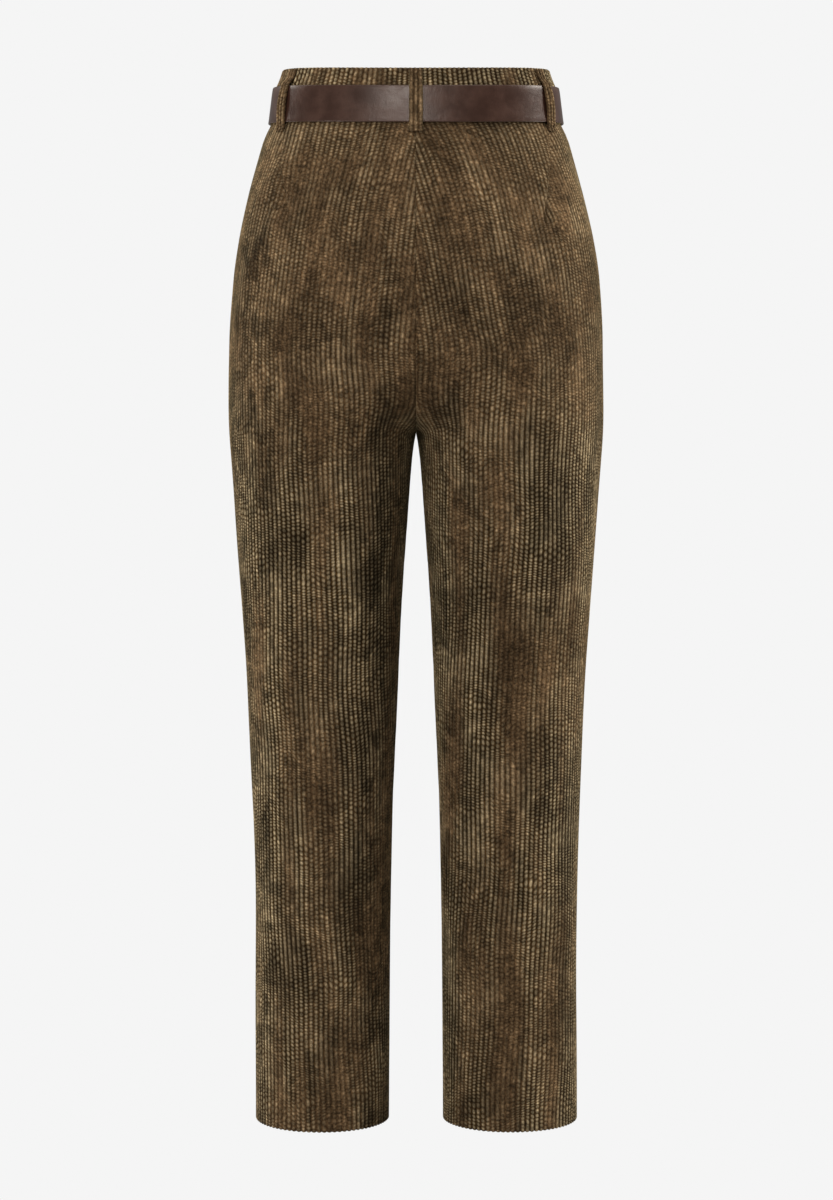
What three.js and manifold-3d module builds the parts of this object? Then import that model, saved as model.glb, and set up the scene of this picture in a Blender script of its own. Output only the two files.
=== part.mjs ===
import * as THREE from 'three';
import Module from 'manifold-3d';

// Driving sizes in millimetres.
// The origin is the middle of the waist at the height of the belt's centre line.
// -Y is the wearer's back, +X the wearer's right side, +Z up.
const WALE = 5; // from one raised wale of the corduroy to the next
const WALE_RISE = 0.9; // a wale's crest above the valley beside it
const CLOTH = 2.3; // crest to inside of one layer of corduroy
const SEAM_GAP = 0.3; // between two sewn pieces
const WAIST_SEAM = -12; // height of the seam under the waistband
const BAND_TOP = 34.8;
const BAND_THICK = 3.3; // two layers of cloth with their stiffening
const SEAT_LEVEL = -225; // where the centre seam starts to turn under
const CROTCH_DROP = 80; // how far the centre seam still falls from there to the crotch
const HEM = -1004;
const HEM_ALLOWANCE = 36; // the cloth turned up inside the hem
const HEM_EXTRA = 1.2; // what it adds to the wall's thickness
const SIDE_RISE = 4; // the waist is this much higher at the sides than at the centre back
const SQUARENESS = 2.25; // 2 would make the waist and seat sections plain ellipses

// Half widths and depths of the trousers from waist to seat, read off the outline and a general figure.
const SEAT = [
  { z: 35, wide: 130.5, back: 88, front: 86 },
  { z: 26, wide: 133.5, back: 90, front: 88 },
  { z: 17.5, wide: 137, back: 91.8, front: 90 },
  { z: 0, wide: 139.4, back: 94, front: 92 },
  { z: -17.5, wide: 141.9, back: 96.6, front: 94 },
  { z: -21, wide: 143.2, back: 98, front: 95 },
  { z: -31, wide: 148.4, back: 102, front: 98 },
  { z: -48, wide: 153.8, back: 106, front: 101 },
  { z: -87, wide: 164.8, back: 113.5, front: 105 },
  { z: -126, wide: 173.8, back: 119, front: 107.5 },
  { z: -165, wide: 179.9, back: 122.5, front: 108.5 },
  { z: -225, wide: 184, back: 123, front: 108 },
  { z: -310, wide: 184.6, back: 119, front: 104 },
];

// Outer and inner half widths of the two legs, and each leg's depths. Above the crotch the depths
// are larger, because there the leg's section only counts for a share.
const LEG = [
  { z: -225, wide: 184, inner: 0, back: 170, front: 148 },
  { z: -276, wide: 184.4, inner: 0, back: 160, front: 140 },
  { z: -290, wide: 184.5, inner: 0, back: 127, front: 114 },
  { z: -296, wide: 184.6, inner: 0, back: 118, front: 105 },
  { z: -305, wide: 184.6, inner: 0, back: 112, front: 97 },
  { z: -342, wide: 182.5, inner: 3.5, back: 104, front: 90 },
  { z: -402, wide: 178.9, inner: 8.4, back: 95, front: 84 },
  { z: -491, wide: 172.4, inner: 14.4, back: 84, front: 77 },
  { z: -581, wide: 167.3, inner: 18.4, back: 76, front: 72 },
  { z: -702, wide: 162.4, inner: 23.5, back: 68, front: 67 },
  { z: -823, wide: 160.9, inner: 25.6, back: 64, front: 64.5 },
  { z: -945, wide: 161.4, inner: 26.7, back: 62.5, front: 63.5 },
  { z: -1004, wide: 161.8, inner: 27, back: 62, front: 63 },
];

// How much of a panel's cloth the side seam has taken, measured across the grain.
const GRAIN = [
  { z: -12, taken: 12 },
  { z: -100, taken: 4 },
  { z: -200, taken: 0 },
  { z: -305, taken: 0 },
  { z: -450, taken: 12 },
  { z: -640, taken: 24 },
  { z: -1004, taken: 30 },
];

// Soft folds in the hanging cloth. Turn is the place round a panel: 0 centre back or inseam,
// 0.5 side seam, 1 centre front or inseam. Side is +1 for the wearer's right.
const FOLDS = [
  { side: 1, turn: 0.15, z: -318, across: 0.06, along: 45, out: 4 },
  { side: 1, turn: 0.3, z: -370, across: 0.07, along: 70, out: -3 },
  { side: -1, turn: 0.12, z: -330, across: 0.05, along: 55, out: 3 },
  { side: -1, turn: 0.27, z: -420, across: 0.06, along: 90, out: -3 },
  { side: 1, turn: 0.22, z: -640, across: 0.08, along: 60, out: 2.5 },
  { side: -1, turn: 0.2, z: -700, across: 0.08, along: 110, out: 2.5 },
  { side: 1, turn: 0.78, z: -360, across: 0.07, along: 90, out: 3 },
  { side: -1, turn: 0.78, z: -390, across: 0.07, along: 90, out: 3 },
];

const BACK_DART = { length: 100, gap: 22, topFromSide: 50, tipFromSide: 105 };

// Rows of points down a panel: heights to the seat, steps round the crotch, heights down the leg.
const SEAT_ROWS = [-12.3, -18, -34, -98, -182];
const CROTCH_STEPS = [0.18, 0.5, 0.78];
const LEG_ROWS = [-305, -395, -550, -770, -1004];
const BAND_ROWS = [BAND_TOP, 14, WAIST_SEAM];

const CORDUROY = new THREE.MeshStandardMaterial({ color: 0x665238, roughness: 0.95 });
const LEATHER = new THREE.MeshStandardMaterial({ color: 0x35231e, roughness: 0.45 });
const METAL = new THREE.MeshStandardMaterial({ color: 0x8d7a55, roughness: 0.35, metalness: 1 });
const TAPE = new THREE.MeshStandardMaterial({ color: 0x2c2218, roughness: 0.9 });

const kit = await Module();
kit.setup();

const trousers = new THREE.Group();
trousers.name = 'corduroy_trousers';

// Reads one column of a table at a height, with a smooth curve through its rows.
function reading(table, column, z) {
  const last = table.length - 1;
  if (z >= table[0].z) return table[0][column];
  if (z <= table[last].z) return table[last][column];
  let row = 0;
  while (z < table[row + 1].z) row += 1;
  const slope = (a, b) => (table[b][column] - table[a][column]) / (table[b].z - table[a].z);
  const here = slope(row, row + 1);
  const above = row > 0 ? slope(row - 1, row) : here;
  const below = row + 1 < last ? slope(row + 1, row + 2) : here;
  const gentle = (a, b) => (a * b <= 0 ? 0 : (2 * a * b) / (a + b));
  const step = table[row + 1].z - table[row].z;
  const t = (z - table[row].z) / step;
  const start = gentle(above, here) * step;
  const end = gentle(here, below) * step;
  const rise = table[row + 1][column] - table[row][column];
  return table[row][column] + t * (start + t * (3 * rise - 2 * start - end + t * (start + end - 2 * rise)));
}

// One half of the waist or seat section, from the centre back (turn 0) to the centre front (turn 1).
function seatRing(turn, z) {
  const angle = Math.PI * turn;
  const power = 2 / SQUARENESS;
  const depth = turn < 0.5 ? -reading(SEAT, 'back', z) : reading(SEAT, 'front', z);
  const across = Math.sign(angle) * Math.abs(Math.sin(angle)) ** power;
  return [reading(SEAT, 'wide', z) * across, depth * Math.abs(Math.cos(angle)) ** power];
}

// One leg's section, from the inseam (turn 0) round the back, side seam and front to the inseam.
function legRing(turn, z) {
  const angle = 2 * Math.PI * turn;
  const wide = reading(LEG, 'wide', z);
  const inner = reading(LEG, 'inner', z);
  const depth = turn < 0.5 ? reading(LEG, 'back', z) : reading(LEG, 'front', z);
  return [(wide + inner) / 2 - ((wide - inner) / 2) * Math.cos(angle), -depth * Math.sin(angle)];
}

// A point of the right half's outside. A level from 0 to 1 is waist to seat, 1 to 2 the crotch
// and 2 to 3 the leg.
function outside(level, turn) {
  if (level <= 1) {
    const z = WAIST_SEAM + (SEAT_LEVEL - WAIST_SEAM) * level;
    const [x, y] = seatRing(turn, z);
    return [x, y, z + waistRise(turn, z)];
  }
  if (level < 2) {
    const angle = ((level - 1) * Math.PI) / 2;
    const near = Math.cos(Math.PI * turn) ** 2;
    const z = SEAT_LEVEL - CROTCH_DROP * (near * Math.sin(angle) + (1 - near) * (level - 1));
    const ring = seatRing(turn, z);
    const leg = legRing(turn, z);
    const share = 1 - Math.cos(angle);
    return [ring[0] + (leg[0] - ring[0]) * share, ring[1] + (leg[1] - ring[1]) * share, z];
  }
  const top = SEAT_LEVEL - CROTCH_DROP;
  const z = top + (HEM - top) * (level - 2);
  const [x, y] = legRing(turn, z);
  return [x, y, z];
}

// The waist's lift at the sides, which fades out towards the hips.
function waistRise(turn, z) {
  const fade = Math.min(1, Math.max(0, (z + 110) / 90));
  return SIDE_RISE * Math.sin(Math.PI * turn) ** 2 * fade;
}

function levelAt(z) {
  if (z > SEAT_LEVEL) return (z - WAIST_SEAM) / (SEAT_LEVEL - WAIST_SEAM);
  const top = SEAT_LEVEL - CROTCH_DROP;
  return 2 + (z - top) / (HEM - top);
}

// The outward direction of a section at one place, level with the floor.
function outward(level, turn) {
  const step = 0.004;
  const before = outside(level, Math.max(0, turn - step));
  const after = outside(level, Math.min(1, turn + step));
  const along = [after[0] - before[0], after[1] - before[1]];
  const size = Math.hypot(along[0], along[1]);
  return [along[1] / -size, along[0] / size].map((part) => -part);
}

// A point of one side's cloth, with its folds, at a depth under the wale crests.
function clothPoint(side, level, turn, depth) {
  const [x, y, z] = outside(level, turn);
  const [nx, ny] = outward(level, turn);
  let out = 0;
  for (const fold of FOLDS) {
    if (fold.side !== side) continue;
    const far = ((turn - fold.turn) / fold.across) ** 2 + ((z - fold.z) / fold.along) ** 2;
    out += fold.out * Math.exp(-far);
  }
  const slope = level > 1 && level < 2 ? Math.sin(Math.PI * (level - 1)) * Math.cos(Math.PI * turn) ** 2 : 0;
  const inwards = depth * (1 + 0.45 * slope) - out;
  return [side * (x - nx * inwards), y - ny * inwards, z];
}

// Collects points and triangles for one closed solid.
class Skin {
  constructor() {
    this.points = [];
    this.faces = [];
  }

  add(point, keys) {
    this.points.push(point);
    return { id: this.points.length - 1, ...keys };
  }

  // Joins two rows of points by triangles, walking both rows in the order of a key.
  join(a, b, key, turned = false) {
    let i = 0;
    let j = 0;
    while (i < a.length - 1 || j < b.length - 1) {
      const nextA = i < a.length - 1 ? a[i + 1][key] : Infinity;
      const nextB = j < b.length - 1 ? b[j + 1][key] : Infinity;
      const useA = j === b.length - 1 || (i < a.length - 1 && nextA <= nextB);
      const third = useA ? a[i + 1].id : b[j + 1].id;
      const face = [a[i].id, b[j].id, third];
      this.faces.push(turned ? face.reverse() : face);
      if (useA) i += 1;
      else j += 1;
    }
  }

  geometry() {
    const shape = new THREE.BufferGeometry();
    shape.setAttribute('position', new THREE.Float32BufferAttribute(this.points.flat(), 3));
    shape.setIndex(this.volume() > 0 ? this.faces.flat() : this.faces.map((f) => [...f].reverse()).flat());
    shape.computeVertexNormals();
    return shape;
  }

  volume() {
    const corner = new THREE.Vector3();
    let total = 0;
    for (const [a, b, c] of this.faces) {
      corner.fromArray(this.points[a]).cross(new THREE.Vector3(...this.points[b]));
      total += corner.dot(new THREE.Vector3(...this.points[c]));
    }
    return total;
  }
}

function addSolid(name, geometry, material) {
  const mesh = new THREE.Mesh(geometry, material);
  mesh.name = name;
  trousers.add(mesh);
}

function toSolid(geometry) {
  return new kit.Manifold(new kit.Mesh({
    numProp: 3,
    vertProperties: new Float32Array(geometry.getAttribute('position').array),
    triVerts: new Uint32Array(geometry.index.array),
  }));
}

function toGeometry(solid) {
  const mesh = solid.getMesh();
  const shape = new THREE.BufferGeometry();
  shape.setAttribute('position', new THREE.Float32BufferAttribute(mesh.vertProperties, 3));
  shape.setIndex([...mesh.triVerts]);
  shape.computeVertexNormals();
  return shape;
}

// Trouser panels.
// A row runs from the side seam to the centre seam or inseam. Its points are half wales, crest and
// valley in turn, at the same distance across the grain in every row.
const ROW_STEPS = 150;

function measuredRow(side, back, level) {
  const end = back ? 0 : 1;
  const places = [];
  let length = 0;
  let previous = null;
  for (let step = 0; step <= ROW_STEPS; step += 1) {
    const turn = 0.5 + ((end - 0.5) * step) / ROW_STEPS;
    const point = outside(level, turn);
    if (previous) length += Math.hypot(...point.map((part, axis) => part - previous[axis]));
    places.push({ turn, length });
    previous = point;
  }
  return places;
}

function turnAt(row, length) {
  let step = 1;
  while (step < row.length - 1 && row[step].length < length) step += 1;
  const share = (length - row[step - 1].length) / (row[step].length - row[step - 1].length);
  return row[step - 1].turn + (row[step].turn - row[step - 1].turn) * share;
}

// What the dart has taken out of a back panel's row, and where.
function dartAt(back, z) {
  const down = (WAIST_SEAM - z) / BACK_DART.length;
  if (!back || down >= 1) return null;
  const { topFromSide, tipFromSide, gap } = BACK_DART;
  return { from: topFromSide + (tipFromSide - topFromSide) * down, gap: gap * (1 - down) };
}

// The places of a row's points: seam edge, half wales, dart line, half wales, seam edge.
// The top row is hidden under the waistband's edge and stays plain.
function waleStops(row, back, z, plain) {
  const total = row[row.length - 1].length;
  const taken = reading(GRAIN, 'taken', z);
  const dart = dartAt(back, z);
  const clear = WALE / 8;
  const every = plain ? 4 : 1;
  const stops = [{ at: 0, grain: taken, depth: WALE_RISE }];
  const fill = (from, to, shift) => {
    const first = Math.ceil((from + shift + clear) / (WALE / 2));
    const final = Math.floor((to + shift - clear) / (WALE / 2));
    for (let half = first; half <= final; half += 1) {
      const grain = (half * WALE) / 2;
      if (half % every) continue;
      stops.push({ at: grain - shift, grain, depth: half % 2 === 0 ? WALE_RISE : 0 });
    }
  };
  if (dart) {
    fill(0, dart.from, taken);
    stops.push({ at: dart.from, grain: dart.from + taken + dart.gap / 2, depth: WALE_RISE });
    fill(dart.from, total, taken + dart.gap);
  } else {
    fill(0, total, taken);
  }
  stops.push({ at: total, grain: total + taken + (dart ? dart.gap : 0), depth: WALE_RISE });
  return stops;
}

function panel(name, side, back) {
  const skin = new Skin();
  const seamShift = [(side * SEAM_GAP) / 2, (back ? -1 : 1) * (SEAM_GAP / 2), 0];
  const place = (level, turn, depth) => clothPoint(side, level, turn, depth).map((part, axis) => part + seamShift[axis]);
  const levels = [
    ...SEAT_ROWS.map(levelAt),
    ...CROTCH_STEPS.map((step) => 1 + step),
    ...LEG_ROWS.map(levelAt),
  ];
  const outer = levels.map((level, index) => {
    const row = measuredRow(side, back, level);
    const height = outside(level, 0.5)[2] - waistRise(0.5, outside(level, 0.5)[2]);
    return waleStops(row, back, height, index === 0).map(({ at, grain, depth }) =>
      skin.add(place(level, turnAt(row, at), depth), { at, grain, level }));
  });
  const foldTop = HEM + HEM_ALLOWANCE;
  const innerRows = [
    ...levels.slice(0, -1).map((level) => ({ level, depth: CLOTH })),
    { level: levelAt(foldTop + 3), depth: CLOTH },
    { level: levelAt(foldTop), depth: CLOTH + HEM_EXTRA },
    { level: levels[levels.length - 1], depth: CLOTH + HEM_EXTRA },
  ];
  const columns = 10;
  const inner = innerRows.map(({ level, depth }) => {
    const row = measuredRow(side, back, level);
    const total = row[row.length - 1].length;
    return Array.from({ length: columns + 1 }, (_, column) => {
      const at = (total * column) / columns;
      return skin.add(place(level, turnAt(row, at), depth), { at, level });
    });
  });
  for (let row = 1; row < outer.length; row += 1) skin.join(outer[row - 1], outer[row], 'grain');
  for (let row = 1; row < inner.length; row += 1) skin.join(inner[row - 1], inner[row], 'at', true);
  skin.join(outer[0], inner[0], 'at', true);
  skin.join(outer[outer.length - 1], inner[inner.length - 1], 'at');
  const edge = (rows, last) => rows.map((row) => row[last ? row.length - 1 : 0]);
  skin.join(edge(outer, false), edge(inner, false), 'level');
  skin.join(edge(outer, true), edge(inner, true), 'level', true);
  addSolid(name, skin.geometry(), CORDUROY);
}

panel('back_left', -1, true);
panel('back_right', 1, true);
panel('front_left', -1, false);
panel('front_right', 1, false);

// Places round the waist. The arc runs from the centre front over the wearer's right side and the
// back, and is measured at the belt's centre line.
const waist = [];
for (let step = 0; step <= 4 * ROW_STEPS; step += 1) {
  const along = step / (2 * ROW_STEPS);
  const side = along <= 1 ? 1 : -1;
  const turn = along <= 1 ? 1 - along : along - 1;
  const [x, y] = seatRing(turn, 0);
  const before = waist[waist.length - 1];
  const length = before ? before.length + Math.hypot(side * x - before.x, y - before.y) : 0;
  waist.push({ side, turn, x: side * x, y, length });
}
const WAIST = waist[waist.length - 1].length;

function aroundWaist(arc, z, out) {
  const length = ((arc % WAIST) + WAIST) % WAIST;
  let low = 0;
  let high = waist.length - 1;
  while (high - low > 1) {
    const middle = Math.floor((low + high) / 2);
    if (waist[middle].length <= length) low = middle;
    else high = middle;
  }
  const share = (length - waist[low].length) / (waist[high].length - waist[low].length);
  const from = waist[low].side === waist[high].side ? waist[low].turn : 0;
  const turn = from + (waist[high].turn - from) * share;
  const { side } = waist[high];
  const [x, y] = seatRing(turn, z);
  const step = 0.004;
  const a = seatRing(Math.max(0, turn - step), z);
  const b = seatRing(Math.min(1, turn + step), z);
  const size = Math.hypot(b[0] - a[0], b[1] - a[1]);
  const nx = (b[1] - a[1]) / size;
  const ny = (a[0] - b[0]) / size;
  return [side * (x + nx * out), y + ny * out, z + waistRise(turn, z)];
}

function blend(start, end, value) {
  const t = Math.min(1, Math.max(0, (value - start) / (end - start)));
  return t * t * (3 - 2 * t);
}

// Waistband.
// One strip from the right front's edge round the back to the left front, where it dips and
// runs on behind the right end as the underlap.
const BAND_END = -1.5;
const UNDERLAP = 30;
const UNDERLAP_DIP = BAND_THICK + 2.7;

function waistband() {
  const skin = new Skin();
  const from = BAND_END;
  const to = WAIST + UNDERLAP;
  const dipAt = (arc) => UNDERLAP_DIP * blend(WAIST - 20, WAIST - 5, arc);
  const arcs = [from];
  for (let half = Math.ceil((from + 1) / (WALE / 2)); (half * WALE) / 2 < to - 1; half += 1) arcs.push((half * WALE) / 2);
  arcs.push(to);
  const outer = BAND_ROWS.map((z) => arcs.map((arc, index) =>
    skin.add(aroundWaist(arc, z, -dipAt(arc) - (index % 2 === 0 ? WALE_RISE : 0)), { arc, z: -z })));
  const steps = 58;
  const inner = BAND_ROWS.map((z) => Array.from({ length: steps + 1 }, (_, step) => {
    const arc = from + ((to - from) * step) / steps;
    return skin.add(aroundWaist(arc, z, -dipAt(arc) - BAND_THICK), { arc, z: -z });
  }));
  skin.join(outer[0], outer[1], 'arc');
  skin.join(outer[1], outer[2], 'arc');
  skin.join(inner[0], inner[1], 'arc', true);
  skin.join(inner[1], inner[2], 'arc', true);
  skin.join(outer[0], inner[0], 'arc', true);
  skin.join(outer[2], inner[2], 'arc');
  const edge = (rows, last) => rows.map((row) => row[last ? row.length - 1 : 0]);
  skin.join(edge(outer, false), edge(inner, false), 'z');
  skin.join(edge(outer, true), edge(inner, true), 'z', true);
  addSolid('waistband', skin.geometry(), CORDUROY);
}

waistband();

// Sweeps a section along stations. Each station gives the section's points in order.
function sweep(stations, closed = false) {
  const skin = new Skin();
  const rings = stations.map((points) => {
    const ring = points.map((point, index) => skin.add(point, { index }));
    return [...ring, { ...ring[0], index: ring.length }];
  });
  for (let row = 1; row < rings.length; row += 1) skin.join(rings[row - 1], rings[row], 'index');
  if (closed) skin.join(rings[rings.length - 1], rings[0], 'index');
  else {
    const cap = (ring, turned) => {
      for (let corner = 1; corner < ring.length - 2; corner += 1) {
        const face = [ring[0].id, ring[corner].id, ring[corner + 1].id];
        skin.faces.push(turned ? face.reverse() : face);
      }
    };
    cap(rings[0], false);
    cap(rings[rings.length - 1], true);
  }
  return skin.geometry();
}

// The direction across a path in its own plane, at one of its stations.
function acrossPath(path, index, closed = false) {
  const count = path.length;
  const before = closed ? path[(index + count - 1) % count] : path[Math.max(0, index - 1)];
  const after = closed ? path[(index + 1) % count] : path[Math.min(count - 1, index + 1)];
  const size = Math.hypot(after[0] - before[0], after[1] - before[1]);
  return [-(after[1] - before[1]) / size, (after[0] - before[0]) / size];
}

// Belt.
// Layers at the front, outwards: the strap's end folded back, the strap, and the tail on top.
const BELT_WIDE = 35;
const BELT_THICK = 2.6;
const CLEAR = 0.35; // between the belt and what it touches
const FOLD_BACK = 48;
const TAIL_END = 165;
const BAR = { radius: 1.5, out: 4.75, reach: -34 }; // the buckle's hinge bar and its far bar's arc
const SLOPE_END = 76;

const LAYER = {
  first: CLEAR + BELT_THICK / 2,
  main: 6.15, // over the folded end and the keeper
  wrap: BAR.out + BAR.radius + 0.3 + BELT_THICK / 2,
};
LAYER.step = BELT_THICK + CLEAR;

function strapOut(arc) {
  return LAYER.first + (LAYER.main - LAYER.first) * (1 - blend(50, SLOPE_END, arc))
    + (LAYER.wrap - LAYER.main) * (1 - blend(2, 14, arc));
}

function tailOut(arc) {
  if (arc < 0) return LAYER.first + (LAYER.wrap + LAYER.step - LAYER.first) * blend(-25, -1, arc);
  return strapOut(arc) + LAYER.step;
}

function beltPath() {
  const path = [];
  for (let arc = FOLD_BACK; arc > 0; arc -= 8) path.push([arc, LAYER.first]);
  for (let angle = 90; angle <= 270; angle += 22.5) {
    const turn = (angle * Math.PI) / 180;
    const reach = LAYER.wrap - BAR.out;
    path.push([reach * Math.cos(turn), BAR.out - reach * Math.sin(turn)]);
  }
  for (let arc = 4; arc < WAIST - 60; arc += arc < 80 ? 7 : 10) path.push([arc, strapOut(arc)]);
  for (let arc = -56; arc < TAIL_END - 12; arc += arc < 6 ? 5 : 10) path.push([WAIST + arc, tailOut(arc)]);
  for (const step of [12, 9, 6, 3.5, 1.6, 0.5]) {
    path.push([WAIST + TAIL_END - step, tailOut(TAIL_END - step)]);
  }
  return path;
}

// A strip of leather along a path round the waist, with eased edges.
function strapSolid(path, halfWidthAt, thick) {
  const ease = thick / 4;
  return sweep(path.map(([arc, out], index) => {
    const [da, dout] = acrossPath(path, index);
    const half = halfWidthAt(arc);
    const section = [
      [-half, -0.5 * thick + ease], [-half + ease, -0.5 * thick],
      [half - ease, -0.5 * thick], [half, -0.5 * thick + ease],
      [half, 0.5 * thick - ease], [half - ease, 0.5 * thick],
      [-half + ease, 0.5 * thick], [-half, 0.5 * thick - ease],
    ];
    return section.map(([z, away]) => aroundWaist(arc + da * away, z, out + dout * away));
  }));
}

// A round or long hole's cutter, through one layer only.
function holeCutter(arc, long, wide, middle, deep) {
  const ring = (out) => Array.from({ length: 12 }, (_, index) => {
    const angle = (index / 12) * 2 * Math.PI;
    return aroundWaist(arc + (long / 2) * Math.cos(angle), (wide / 2) * Math.sin(angle), out);
  });
  return toSolid(sweep([ring(middle - deep), ring(middle + deep)]));
}

const PRONG_WIDE = 3.4;
const HOLE_PITCH = 25;
const USED_HOLE = -12;

function belt() {
  const tipStart = WAIST + TAIL_END - 12;
  const halfWidthAt = (arc) => {
    const into = Math.max(0, (arc - tipStart) / 12);
    return (BELT_WIDE / 2) * Math.sqrt(Math.max(0.06, 1 - into * into * 0.94));
  };
  let strap = toSolid(strapSolid(beltPath(), halfWidthAt, BELT_THICK));
  strap = strap.subtract(holeCutter(USED_HOLE, 13, PRONG_WIDE + 1, 7, 3.2));
  for (const hole of [-2, -1, 1, 2]) {
    const arc = USED_HOLE + hole * HOLE_PITCH;
    strap = strap.subtract(holeCutter(arc, 4, 4, tailOut(arc), BELT_THICK * 0.52 + 0.15));
  }
  strap = strap.subtract(holeCutter(0, 14, PRONG_WIDE + 1.4, 4.6, 4.6));
  addSolid('belt_strap', toGeometry(strap), LEATHER);
}

belt();

// Belt buckle.
// A frame of round bar with eased corners, bent to the waist's curve.
function frame() {
  const path = [];
  const high = BELT_WIDE / 2 + 3.6;
  const corner = 5;
  const corners = [[0, high, 0], [BAR.reach, high, 90], [BAR.reach, -high, 180], [0, -high, 270]];
  for (const [arc, z, start] of corners) {
    const middle = [arc + (arc < 0 ? corner : -corner), z - Math.sign(z) * corner];
    for (let step = 0; step <= 3; step += 1) {
      const angle = ((start + step * 30) * Math.PI) / 180;
      path.push([middle[0] + corner * Math.cos(angle), middle[1] + corner * Math.sin(angle)]);
    }
  }
  const sides = 8;
  addSolid('belt_buckle', sweep(path.map(([arc, z], index) => {
    const [da, dz] = acrossPath(path, index, true);
    return Array.from({ length: sides }, (_, side) => {
      const angle = (side / sides) * 2 * Math.PI;
      const away = BAR.radius * Math.cos(angle);
      return aroundWaist(arc + da * away, z + dz * away, BAR.out + BAR.radius * Math.sin(angle));
    });
  }), true), METAL);
}

frame();

// Belt prong.
// It is bent round the hinge bar, goes up through the hole and rests on the far bar.
function prong() {
  const bend = BAR.radius + 0.3 + 0.7;
  const path = [];
  for (const angle of [205, 250, 295, 340, 25, 65]) {
    const turn = (angle * Math.PI) / 180;
    path.push([bend * Math.cos(turn), BAR.out + bend * Math.sin(turn)]);
  }
  path.push([-1, BAR.out + bend], [-12, BAR.out + bend + 0.2], [-28, BAR.out + bend + 0.2]);
  path.push([BAR.reach, BAR.out + bend + 0.2], [BAR.reach - 3.5, BAR.out + bend - 0.4]);
  const half = PRONG_WIDE / 2;
  addSolid('belt_prong', sweep(path.map(([arc, out], index) => {
    const [da, dout] = acrossPath(path, index);
    const tip = index === path.length - 1 ? 0.5 : 1;
    const section = [[-half * tip, 0], [-half * 0.5 * tip, -0.7], [half * 0.5 * tip, -0.7]];
    section.push([half * tip, 0], [half * 0.5 * tip, 0.7], [-half * 0.5 * tip, 0.7]);
    return section.map(([z, away]) => aroundWaist(arc + da * away, z, out + dout * away));
  })), METAL);
}

prong();

// Belt keeper.
// A narrow leather ring round the strap and its tail.
function keeper() {
  const thick = 1.3;
  const high = BELT_WIDE / 2 + CLEAR + thick / 2;
  const low = LAYER.first + BELT_THICK / 2 + CLEAR - 0.05 + thick / 2;
  const top = LAYER.main + LAYER.step + BELT_THICK / 2 + CLEAR + thick / 2;
  const path = [[high, low], [high, top], [0, top], [-high, top], [-high, low], [0, low]];
  const from = 24;
  const wide = 9;
  addSolid('belt_keeper', sweep(path.map(([z, out]) => {
    const dz = z === 0 ? 0 : Math.sign(z) * (thick / 2);
    const dout = out === top ? thick / 2 : -thick / 2;
    return [[-1, 0], [-1, 1], [1, 1], [1, 0]].map(([way, end]) =>
      aroundWaist(from + wide * end, z + dz * way, out + dout * way));
  }), true), LEATHER);
}

keeper();

// Belt loops.
// Each is a folded strip of corduroy from the waistband's top edge over the belt to below the seam.
const LOOP_WIDE = 13;
const LOOP_THICK = 1.9;

function beltLoop(name, arc, beltOut) {
  const resting = CLEAR + LOOP_THICK / 2;
  const over = beltOut + CLEAR + LOOP_THICK / 2;
  const path = [[33.5, resting], [25, resting], [18.8, over], [0, over], [-18.6, over], [-22, resting + 0.4]];
  path.push([-26, resting]);
  const ribs = [[-1, 0.35], [-0.72, 1], [-0.36, 0.55], [0, 1], [0.36, 0.55], [0.72, 1], [1, 0.35]];
  const half = LOOP_WIDE / 2;
  addSolid(name, sweep(path.map(([z, out], index) => {
    const [dz, dout] = acrossPath(path, index);
    const place = (across, away) => aroundWaist(arc + across, z - dz * away, out - dout * away);
    const front = ribs.map(([across, rise]) => place(across * half, (rise - 0.5) * LOOP_THICK));
    const back = [1, 0, -1].map((across) => place(across * half, -0.5 * LOOP_THICK));
    return [...front, ...back];
  })), CORDUROY);
}

const BELT_OUTSIDE = LAYER.first + BELT_THICK / 2;
const SIDE_SEAM = waist.find(({ turn, side }) => side > 0 && turn <= 0.5).length;
beltLoop('loop_centre_back', WAIST / 2, BELT_OUTSIDE);
beltLoop('loop_back_right', SIDE_SEAM + BACK_DART.topFromSide, BELT_OUTSIDE);
beltLoop('loop_back_left', WAIST - SIDE_SEAM - BACK_DART.topFromSide, BELT_OUTSIDE);
beltLoop('loop_front_right', 95, BELT_OUTSIDE + LAYER.step);
beltLoop('loop_front_left', WAIST - 95, BELT_OUTSIDE);

// Fly.
// Flat pieces behind the front panels, each a patch between two depths under the front's crests.
const FRONT_ROWS = [...BAND_ROWS, ...SEAT_ROWS];

function frontDepth(x, z) {
  const depthAt = (height) => {
    const share = Math.min(1, Math.abs(x) / reading(SEAT, 'wide', height));
    return reading(SEAT, 'front', height) * (1 - share ** SQUARENESS) ** (1 / SQUARENESS);
  };
  const below = FRONT_ROWS.findIndex((row) => row <= z);
  const low = FRONT_ROWS[below];
  const high = FRONT_ROWS[Math.max(0, below - 1)];
  const share = high === low ? 0 : (z - low) / (high - low);
  return depthAt(low) + (depthAt(high) - depthAt(low)) * share;
}

function patch(fromX, toX, fromZ, toZ, near, deep, columns = 4) {
  const spots = [];
  for (let column = 0; column <= columns; column += 1) {
    spots.push([fromX + ((toX - fromX) * column) / columns, near]);
  }
  for (let column = columns; column >= 0; column -= 1) {
    spots.push([fromX + ((toX - fromX) * column) / columns, deep]);
  }
  const heights = [fromZ, ...FRONT_ROWS.filter((z) => z < fromZ && z > toZ), toZ];
  return sweep(heights.map((z) => spots.map(([x, depth]) => [x, frontDepth(x, z) - depth, z])));
}

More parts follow.
